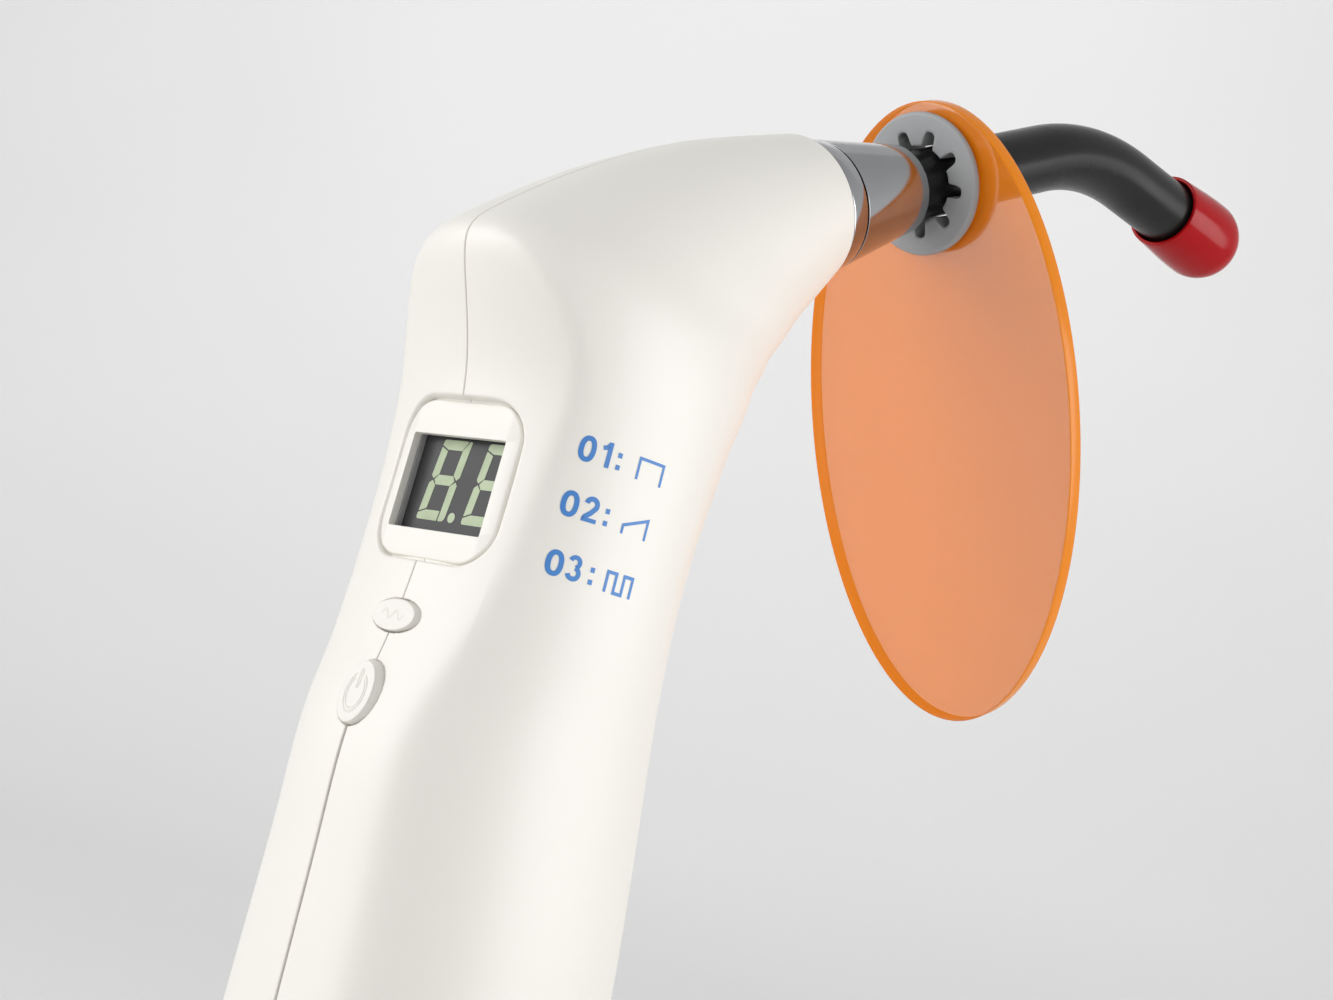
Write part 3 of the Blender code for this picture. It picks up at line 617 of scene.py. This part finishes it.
def framed_plate(outer, inner, x_back, x_front, soft, zo, zi, bow=0.0):
    """Plate with a window: outer and inner are (width, height, corner); x_back is the side seen."""
    loops = []
    for k in range(7):                               # rounded outer edge
        a = math.pi / 2 * k / 6
        inset = soft * (1 - math.sin(math.pi / 2 - a))
        x = x_back + soft * (1 - math.sin(a))
        loops.append(rounded_loop(outer[0] - 2 * inset, outer[1] - 2 * inset,
                                  max(outer[2] - inset, 0.05), x, zo))
    loops.insert(0, rounded_loop(*outer, x_front, zo))
    if bow:
        flat = inner[0] / 2
        loops = [[(x + max(0.0, y * y - flat * flat) * bow, y, z) for x, y, z in loop]
                 for loop in loops]
    edge = 0.06
    loops.append(rounded_loop(inner[0] + 2 * edge, inner[1] + 2 * edge, inner[2] + edge, x_back,
                              zi))
    for k in range(1, 5):
        a = math.pi / 2 * k / 4
        loops.append(rounded_loop(inner[0] + 2 * edge * (1 - math.sin(a)),
                                  inner[1] + 2 * edge * (1 - math.sin(a)), inner[2],
                                  x_back + edge * (1 - math.cos(a)), zi))
    loops.append(rounded_loop(*inner, x_front, zi))
    return loops_mesh(loops, wrap=True)


def leaning(verts):
    return [(x + DISPLAY_LEAN * (z - DISPLAY_MID), y, z) for x, y, z in verts]


WINDOW_W, WINDOW_H, WINDOW_Z = 13.1, 9.3, 114.22
BEZEL_INNER_X, FRAME_X, FRAME_INNER_X, LCD_X, LCD_INNER_X = -11.75, -11.7, -11.12, -11.1, -9.0
PANEL_W, PANEL_H = 15.2, 11.4
BEZEL_BOW = 0.019                         # how fast the surround curves back towards its sides
verts, faces = framed_plate((BEZEL_W, BEZEL_H, BEZEL_CORNER), (WINDOW_W, WINDOW_H, 0.2), BEZEL_X,
                            BEZEL_INNER_X, 0.25, BEZEL_Z, WINDOW_Z, BEZEL_BOW)
piece("display_bezel_skin", leaning(verts), faces, WHITE, "handpiece", ["display_bezel"])
verts, faces = framed_plate((PANEL_W, PANEL_H, 0.5), (12.8, 9.7, 0.2), FRAME_X, FRAME_INNER_X,
                            0.1, WINDOW_Z, WINDOW_Z)
piece("display_frame_skin", leaning(verts), faces, FRAME_GREY, "handpiece",
      ["display_frame"])
verts, faces = loops_mesh([rounded_loop(PANEL_W, PANEL_H, 0.3, LCD_INNER_X, WINDOW_Z, 5),
                           rounded_loop(PANEL_W, PANEL_H, 0.3, LCD_X + 0.05, WINDOW_Z, 5),
                           rounded_loop(PANEL_W - 0.1, PANEL_H - 0.1, 0.3, LCD_X, WINDOW_Z, 5)],
                          True, True)
piece("display_panel_skin", leaning(verts), faces, LCD, "handpiece", ["display_panel"])

DIGIT_H, DIGIT_W, STROKE, SLANT = 8.0, 4.05, 0.98, math.radians(7.0)


def digit(y0, z0):
    """Seven slanted segments; y0, z0 is the digit's middle, y grows to the reader's left."""
    h, w, t, g = DIGIT_H / 2, DIGIT_W / 2, STROKE, 0.08
    hi, knee, big, small = t / 2, 0.40, 0.42, 0.07
    shapes = [
        ([(-w, h), (w - 0.42 - g, h), (w - t - g, h - t), (-w + t, h - t), (-w, h - 0.6)],
         [big, small, small, small, small]),
        ([(w - 0.42 + g, h), (w, h), (w, knee), (w - hi * 0.75, g), (w - t, hi + g),
          (w - t, h - t)], [small, big, 0.12, small, small, small]),
        ([(-w, h - 0.6 - g * 2), (-w + t, h - t - g * 2), (-w + t, hi + g), (-w + hi * 0.75, g),
          (-w, knee)], [small, small, small, small, 0.12]),
        ([(-w + hi + g, 0), (-w + t, hi), (w - t, hi), (w - hi - g, 0), (w - t, -hi),
          (-w + t, -hi)], [small] * 6),
        ([(-w, -knee), (-w + hi * 0.75, -g), (-w + t, -hi - g), (-w + t, -h + t + g * 2),
          (-w, -h + 0.62 + g * 2)], [0.12, small, small, small, small]),
        ([(-w, -h), (-w, -h + 0.62), (-w + t, -h + t), (w - t - g, -h + t), (w - t - g, -h)],
         [big, small, small, small, small]),
        ([(w - t + g, -h), (w - t + g, -h + t), (w - t, -hi - g), (w - hi * 0.75, -g),
          (w, -knee), (w, -h)], [small, small, small, small, 0.12, big]),
    ]
    parts = []
    for outline, radii in shapes:
        outline = [(a + b * math.tan(SLANT), b) for a, b in fillet(outline, radii, 4)]
        front = [(LCD_X - 0.03, y0 - a, z0 + b) for a, b in outline]
        back = [(LCD_X - 0.005, y0 - a, z0 + b) for a, b in outline]
        parts.append(loops_mesh([back, front], True, True))
    return parts


def dot(y0, z0, r=0.5):
    ring = [(r * math.cos(2 * math.pi * k / 24), r * math.sin(2 * math.pi * k / 24))
            for k in range(24)]
    return loops_mesh([[(LCD_X - 0.005, y0 + a, z0 + b) for a, b in ring],
                       [(LCD_X - 0.03, y0 + a, z0 + b) for a, b in ring]], True, True)


verts, faces = join(digit(2.1, 114.72) + digit(-4.4, 114.72) + [dot(-0.38, 111.2, 0.5)])
piece("display_digits", leaning(verts), faces, SEGMENT, "handpiece", (), 30)


# ---------------------------------------------------------------- buttons
def symbol_depth(y, z, kind):
    """Depth of the engraved outline at a point of a button face."""
    if kind == "power":
        k = np.hypot(y / 1.22, (z + 0.1) / 1.72)
        ring = np.abs(k - 1) * 1.4
        ring = np.where((np.abs(y) < 0.62) & (z > 0), 9.0, ring)
        bar = np.hypot(y, np.maximum(np.abs(z - 1.25) - 0.75, 0))
        d = np.minimum(ring, bar)
    else:
        t = np.linspace(-1, 1, 80)
        wy, wz = -1.5 * t, 0.42 * np.sin(2 * math.pi * t)
        d = np.min(np.hypot(y[..., None] - wy, z[..., None] - wz), axis=-1)
        return 0.07 * np.exp(-(d / 0.085) ** 2)
    return 0.08 * np.exp(-((np.abs(d) - 0.15) / 0.055) ** 2)


def button(name, b, kind, body, replaces):
    """Oval key: skirt, drafted side and a flat face with a small edge radius and a symbol."""
    rings, around = 56, 180
    tilt = math.tan(math.radians(b["lean"]))
    angles = 2 * np.pi * np.arange(around) / around
    soft, drop = 0.16, 0.75
    loops = [[(b["face"] + 3.0, b["y"] * math.cos(a), b["z"] + b["h"] * math.sin(a))
              for a in angles]]

    def ring(ry, rz, depth):
        y, z = ry * np.cos(angles), rz * np.sin(angles)
        loops.append(list(zip(b["face"] + z * tilt + depth, y, b["z"] + z)))

    ring(b["y"], b["h"], drop + 0.35)
    ring(b["y"] - 0.03, b["h"] - 0.02, drop)
    for k in range(1, 9):                             # hollow flank up to the face
        t = k / 9
        ring(b["y"] + (b["top_y"] - b["y"]) * t, b["h"] + (b["top_h"] - b["h"]) * t,
             soft + (drop - soft) * (1 - t) ** 1.25)
    for k in range(7):
        a = math.pi / 2 * k / 6
        ring(b["top_y"] - soft * (1 - math.cos(a)), b["top_h"] - soft * (1 - math.cos(a)),
             soft * (1 - math.sin(a)))
    for k in range(1, rings):
        f = 1 - k / rings
        y = (b["top_y"] - soft) * f * np.cos(angles)
        z = (b["top_h"] - soft) * f * np.sin(angles)
        x = b["face"] + z * tilt + symbol_depth(y, z, kind)
        loops.append(list(zip(x, y, b["z"] + z)))
    verts, faces = loops_mesh(loops, True, True)
    return piece(name, verts, faces, BUTTON, body, replaces, 60)


button("mode_button_skin", MODE, "wave", "mode_button_body", ["mode_button"])
button("power_button_skin", POWER, "power", "power_button_body", ["power_button"])


# ---------------------------------------------------------------- printed program list
def shell_tree(obj):
    mesh = obj.data
    return BVHTree.FromPolygons([v.co.copy() for v in mesh.vertices],
                                [tuple(p.vertices) for p in mesh.polygons])


TREE = shell_tree(right_skin)


def decal(name, strokes, mat):
    """Lays flat strokes, given as (x, z) outlines in millimetres, on the right-hand shell."""
    bm = bmesh.new()
    for outline in strokes:
        n = len(outline) // 2
        verts = [bm.verts.new((x, z, 0)) for x, z in outline]
        for i in range(n - 1):
            bm.faces.new((verts[i], verts[i + 1], verts[2 * n - 2 - i], verts[2 * n - 1 - i]))
    for axis in (0, 1):
        low = min(v.co[axis] for v in bm.verts)
        high = max(v.co[axis] for v in bm.verts)
        normal = Vector((1 - axis, axis, 0))
        for k in range(1, int((high - low) / 0.3) + 1):
            at = Vector((0, 0, 0))
            at[axis] = low + k * 0.3
            geom = bm.verts[:] + bm.edges[:] + bm.faces[:]
            bmesh.ops.bisect_plane(bm, geom=geom, plane_co=at, plane_no=normal, dist=1e-6)
    for v in bm.verts:
        ray = Vector((v.co.x * MM, -0.03, v.co.y * MM))
        hit, normal, _, _ = TREE.ray_cast(ray, Vector((0, 1, 0)))
        if normal.y > 0:
            normal = -normal
        v.co = hit + normal * 0.00003
    for f in bm.faces:
        f.normal_update()
        if f.normal.y > 0:
            f.normal_flip()
    mesh = bpy.data.meshes.new(name)
    bm.to_mesh(mesh)
    bm.free()
    mesh.shade_smooth()
    obj = bpy.data.objects.new(name, mesh)
    bpy.context.scene.collection.objects.link(obj)
    obj.data.materials.append(mat)
    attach(obj, "handpiece")
    return obj


def stroke(points, width, closed=False):
    """Outline of a line of constant width: one edge forwards, then the other edge back."""
    pts = [Vector(p) for p in points]
    n = len(pts)
    one, other = [], []
    for i, p in enumerate(pts):
        before = pts[i - 1] if i or closed else None
        after = pts[(i + 1) % n] if i < n - 1 or closed else None
        a = (p - before).normalized() if before is not None else (after - p).normalized()
        b = (after - p).normalized() if after is not None else a
        na, nb = Vector((-a.y, a.x)), Vector((-b.y, b.x))
        m = (na + nb).normalized()
        m *= width / 2 / max(m.dot(na), 0.35)
        one.append(tuple(p + m))
        other.append(tuple(p - m))
    if closed:
        one.append(one[0])
        other.append(other[0])
    return one + other[::-1]


def arc(cx, cy, rx, ry, start, stop, steps=18):
    return [(cx + rx * math.cos(math.radians(start + (stop - start) * k / steps)),
             cy + ry * math.sin(math.radians(start + (stop - start) * k / steps)))
            for k in range(steps + 1)]


INK = 0.47
NUMERALS = {
    "0": [stroke([(0.57 * math.copysign(abs(math.cos(t)) ** 0.85, math.cos(t)),
                   1.2 + 0.99 * math.copysign(abs(math.sin(t)) ** 0.9, math.sin(t)))
                  for t in np.linspace(0, 2 * math.pi, 37)[:-1]], INK, True)],
    "1": [stroke([(0.18, 0.0), (0.18, 2.4)], INK),
          stroke([(-0.55, 1.72), (-0.15, 1.84), (0.1, 2.2)], 0.42)],
    "2": [stroke(arc(0, 1.66, 0.52, 0.53, 175, -28) + [(0.05, 0.88), (-0.42, 0.46), (-0.5, 0.2)],
                 INK), stroke([(-0.74, 0.2), (0.74, 0.2)], 0.40)],
    "3": [stroke(arc(-0.02, 1.73, 0.46, 0.47, 165, -75, 16), 0.42),
          stroke(arc(0, 0.71, 0.53, 0.52, 80, -168, 18), 0.45)],
}
PULSES = {
    "01": (118.5, -8.6, -6.65, -5.32, [((-3.02, 118.4), (-3.02, 120.42), (0.02, 120.42),
                                        (0.02, 118.4))], 0.30),
    "02": (113.2, -8.82, -6.82, -5.12, [((-3.12, 113.15), (-3.12, 113.97), (-0.2, 115.05),
                                         (-0.2, 113.15))], 0.30),
    "03": (107.6, -8.84, -7.0, -5.14, [((-3.42, 107.5), (-3.42, 109.42), (-2.36, 109.42),
                                        (-2.36, 107.62), (-1.36, 107.62), (-1.36, 109.42),
                                        (-0.28, 109.42), (-0.28, 107.5))], 0.33),
}
for label, (base, x0, x1, x2, lines, width) in PULSES.items():
    drawn = []
    for glyph, cx in ((label[0], x0), (label[1], x1)):
        drawn += [[(cx + x, base + z) for x, z in outline] for outline in NUMERALS[glyph]]
    drawn += [stroke([(x2, base + z - 0.24), (x2, base + z + 0.24)], 0.46) for z in (0.36, 1.5)]
    drawn += [stroke(line, width) for line in lines]
    decal("print_" + label, drawn, BLUE_INK)

# ---------------------------------------------------------------- nose
RIM_S, RING_S, CONE_S = -22.4, -19.1, -5.7
ring = fillet([(7.26, RING_S), (7.92, RIM_S + 0.3), (5.9, RIM_S + 0.3), (5.9, -27.3), (5.25, -27.3),
               (5.25, RING_S)], [0.06, 0.25, 0.1, 0.2, 0.2, 0.1], 5)
verts, faces = lathe_mesh(NOSE, ring, 160)
piece("nose_ring_skin", verts, faces, CHROME, "handpiece", ["nose_ring"])
cone = fillet([(4.42, CONE_S), (5.15, CONE_S), (5.25, CONE_S - 0.9), (7.2, RING_S + 0.36),
               (4.9, RING_S + 0.36), (4.9, -21.0), (4.42, -21.0)],
              [0.25, 0.45, 2.0, 0.06, 0.1, 0.1, 0.1], 6)
verts, faces = lathe_mesh(NOSE, cone, 160)
piece("nose_cone_skin", verts, faces, CHROME, "handpiece", ["nose_cone"])

# ---------------------------------------------------------------- light guide
GUIDE_R = 4.0


def swept(radius, stops, around=72):
    loops = []
    for d, shrink in stops:
        s, h, a = guide_point(d)
        n = math.cos(a) * NOSE.n - math.sin(a) * NOSE.u
        u = math.sin(a) * NOSE.n + math.cos(a) * NOSE.u
        centre = NOSE.o + s * NOSE.n + h * NOSE.u
        loops.append([centre + (radius - shrink) * (math.cos(t) * u + math.sin(t) * NOSE.v)
                      for t in 2 * np.pi * np.arange(around) / around])
    return loops


def sheath():
    end = TIP_D - 0.7
    outer = [(-11.7, 0.3), (-11.6, 0.08), (-11.4, 0.0)]
    outer += [(float(d), 0.0) for d in np.linspace(-10.5, end - 0.5, 90)]
    outer += [(end - 0.2, 0.04), (end - 0.05, 0.14), (end, 0.3)]
    inner = [(float(d), 0.4) for d in np.linspace(end, -11.7, 60)]
    verts, faces = loops_mesh(swept(GUIDE_R, outer + inner), wrap=True)
    return piece("light_guide_skin", verts, faces, SHEATH, "light_guide",
                 ["light_guide_sheath"])


sheath()

# ---------------------------------------------------------------- tip cap
CAP_R, CAP_WALL, CAP_MOUTH = 5.25, 0.95, 9.2
cap_out = [(CAP_R * math.sin(math.radians(a)), CAP_R * math.cos(math.radians(a)))
           for a in range(0, 91, 5)]
cap_out += [(CAP_R - 0.02, -1.5), (CAP_R - 0.12, -4.0), (CAP_R - 0.3, -6.5)]
cap_out += fillet([(CAP_R - 0.42, -CAP_MOUTH + 1.0), (CAP_R - 0.5, -CAP_MOUTH),
                   (CAP_R - CAP_WALL, -CAP_MOUTH), (CAP_R - CAP_WALL, -CAP_MOUTH + 1.0)],
                  [0, 0.15, 0.15, 0], 5, False)
cap_in = [((CAP_R - CAP_WALL) * math.cos(math.radians(a)),
           (CAP_R - CAP_WALL) * math.sin(math.radians(a))) for a in range(0, 91, 6)]
cap_in[-1] = (0.0, cap_in[-1][1])
verts, faces = lathe_mesh(TIP, cap_out + cap_in, 96, False)
piece("tip_cap_skin", verts, faces, RED, "cap", ["tip_cap"])

# ---------------------------------------------------------------- eye shield and its grommet
SHIELD_A, SHIELD_B, SHIELD_DROP, SHIELD_T = 18.96, 36.33, 27.07, 2.2


def shield_plate():
    """Oval plate with softly rounded edges and a round hole for the grommet."""
    n = 160
    near, far, soft = -0.2, -0.2 + SHIELD_T, 0.35
    hole = 6.9

    def oval(inset, s):
        pts = []
        for k in range(n):
            t = 2 * math.pi * k / n
            y = (SHIELD_A - inset) * math.sin(t)
            h = -SHIELD_DROP + (SHIELD_B - inset) * math.cos(t)
            pts.append(SHIELD.o + s * SHIELD.n + h * SHIELD.u + y * SHIELD.v)
        return pts

    def ring_loop(r, s):
        pts = []
        for k in range(n):
            t = 2 * math.pi * k / n
            y = SHIELD_A * math.sin(t)
            h = -SHIELD_DROP + SHIELD_B * math.cos(t)
            a = math.atan2(y, h)
            pts.append(SHIELD.at(s, r, a))
        return pts

    loops = [ring_loop(hole, near)]
    for k in range(5):
        a = math.pi / 2 * k / 4
        loops.append(oval(soft * (1 - math.sin(a)), near + soft * (1 - math.cos(a))))
    for k in range(5):
        a = math.pi / 2 * k / 4
        loops.append(oval(soft * (1 - math.cos(a)), far - soft * (1 - math.sin(a))))
    loops.append(ring_loop(hole, far))
    verts, faces = loops_mesh(loops, wrap=True)
    obj = piece("shield_plate_skin", verts, faces, ORANGE, "shield",
                ["shield_plate"])
    obj.data.materials.append(ORANGE_RIM)
    face_way = Vector(SHIELD.n)
    for polygon in obj.data.polygons:
        if abs(polygon.normal.dot(face_way)) < 0.75:
            polygon.material_index = 1
    return obj


shield_plate()

GROMMET_R, BORE_R, SLOT_R, SLOTS, SLOT_W = 8.12, 4.25, 5.35, 9, 1.5


def grommet():
    """Soft ring with two flanges and round-ended slots that open into the bore."""
    around = SLOTS * 40

    def bore(a):
        part = 2 * math.pi / SLOTS
        off = (a % part) - part / 2
        best = BORE_R
        for r in np.linspace(BORE_R, SLOT_R + SLOT_W / 2, 60):
            y = abs(r * math.sin(off))
            x = r * math.cos(off)
            inside = y < SLOT_W / 2 if x < SLOT_R else math.hypot(x - SLOT_R, y) < SLOT_W / 2
            if inside:
                best = r
        return best

    radii = [bore(2 * math.pi * k / around) for k in range(around)]
    smooth = [sum(radii[(k + j) % around] for j in (-1, 0, 1)) / 3 for k in range(around)]
    outer = fillet([(GROMMET_R - 1.6, 3.2), (GROMMET_R, 3.2), (GROMMET_R, 2.3), (6.55, 2.3),
                    (6.55, -0.5), (GROMMET_R, -0.5), (GROMMET_R, -1.45), (GROMMET_R - 1.6, -1.45)],
                   [0, 0.4, 0.3, 0.1, 0.1, 0.3, 0.5, 0], 6, False)
    loops = [[SHIELD.at(s, r, 2 * math.pi * k / around) for k in range(around)] for r, s in outer]
    for extra, s in ((0.30, -1.45), (0.12, -1.40), (0.03, -1.30), (0.0, -1.12), (0.0, 2.9),
                     (0.1, 3.12), (0.3, 3.2)):
        loops.append([SHIELD.at(s, smooth[k] + extra, 2 * math.pi * k / around)
                      for k in range(around)])
    verts, faces = loops_mesh(loops, wrap=True)
    return piece("shield_grommet_skin", verts, faces, RUBBER, "shield_hub",
                 ["shield_grommet"], 40)


grommet()

# ---------------------------------------------------------------- CAD nodes that stay
KEEP = {
    "case_screw_1": STEEL, "case_screw_2": STEEL, "case_screw_3": STEEL, "contact_spring": STEEL,
    "guide_ferrule": STEEL, "contact_plate": GOLD, "charge_pin_left": GOLD,
    "charge_pin_right": GOLD, "reflector": MIRROR, "led_board": ALU, "heat_sink": ALU,
    "led_emitter": FIBRE, "light_guide_fibre": FIBRE, "guide_collet": COLLET,
    "battery_cell": CELL_BLUE, "battery_cradle": GREY, "mode_switch": GREY, "power_switch": GREY,
    "mode_plunger": GREY, "power_plunger": GREY, "main_board": BOARD,
    "controller_chip": BLACKPART, "driver_coil": BLACKPART, "buzzer": BLACKPART,
    "led_lead": WIRE_RED, "battery_lead": WIRE_RED,
}
for node, mat in KEEP.items():
    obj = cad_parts[node]
    obj.data.materials.clear()
    obj.data.materials.append(mat)

# ---------------------------------------------------------------- floor, backdrop and light
def backdrop():
    """One seamless pale sheet: floor, a wide curve and a wall, square to the camera's heading."""
    heading = Vector((LOOK.x, LOOK.y, 0)).normalized()
    across = Vector((heading.y, -heading.x, 0))
    profile = [(-3.0, 0.0), (0.0, 0.0), (1.2, 0.0)]
    profile += [(1.2 + 1.5 * math.sin(a), 1.5 - 1.5 * math.cos(a))
                for a in np.linspace(0.1, math.pi / 2, 16)]
    profile += [(2.7, 5.0)]
    verts, faces = [], []
    for d, z in profile:
        for w in (-4.0, 4.0):
            verts.append(tuple(heading * d + across * w + Vector((0, 0, z))))
    for i in range(len(profile) - 1):
        a = 2 * i
        faces.append((a, a + 1, a + 3, a + 2))
    mesh = bpy.data.meshes.new("backdrop")
    mesh.from_pydata(verts, [], faces)
    mesh.shade_smooth()
    obj = bpy.data.objects.new("backdrop", mesh)
    bpy.context.scene.collection.objects.link(obj)
    mat, tree, shader = new_material("backdrop_paper", Roughness=0.9)
    vary_colour(tree, shader, noise(tree, 1.5, 2.0), (0.865, 0.862, 0.858), (0.885, 0.882, 0.878))
    obj.data.materials.append(mat)


backdrop()


def area(name, at, target, size, power, colour=(1, 1, 1), size_y=None):
    data = bpy.data.lights.new(name, "AREA")
    data.shape = "RECTANGLE"
    data.size = size
    data.size_y = size_y or size
    data.energy = power
    data.color = colour
    obj = bpy.data.objects.new(name, data)
    bpy.context.scene.collection.objects.link(obj)
    obj.visible_camera = False
    obj.location = at
    obj.rotation_euler = (Vector(target) - Vector(at)).to_track_quat("-Z", "Y").to_euler()
    return obj


CENTRE = (0.02, 0.0, 0.12)
SOFTBOX_SPREAD, WASH_SPREAD = math.radians(120), math.radians(115)
left = area("left_softbox", (-0.78, 0.50, 0.36), CENTRE, 0.8, 2.75)
left.data.spread = SOFTBOX_SPREAD
right = area("right_softbox", (0.50, -0.76, 0.16), CENTRE, 0.7, 2.7)
right.data.spread = SOFTBOX_SPREAD
wash = area("backdrop_wash", (0.9, 0.9, 2.6), (1.9, 1.9, 0.5), 1.2, 8.2)
wash.data.spread = WASH_SPREAD

world = bpy.data.worlds.new("studio")
bpy.context.scene.world = world
world.use_nodes = True
world.node_tree.nodes["Background"].inputs["Color"].default_value = (0.99, 0.992, 1.0, 1)
way = add(world.node_tree, "ShaderNodeTexCoord")
split = add(world.node_tree, "ShaderNodeSeparateXYZ")
height = add(world.node_tree, "ShaderNodeMapRange")
height.inputs["From Min"].default_value = 0.0
height.inputs["From Max"].default_value = 0.9
height.inputs["To Min"].default_value = 0.80
height.inputs["To Max"].default_value = 0.47
world.node_tree.links.new(way.outputs["Generated"], split.inputs["Vector"])
world.node_tree.links.new(split.outputs["Z"], height.inputs["Value"])
world.node_tree.links.new(height.outputs["Result"],
                          world.node_tree.nodes["Background"].inputs["Strength"])
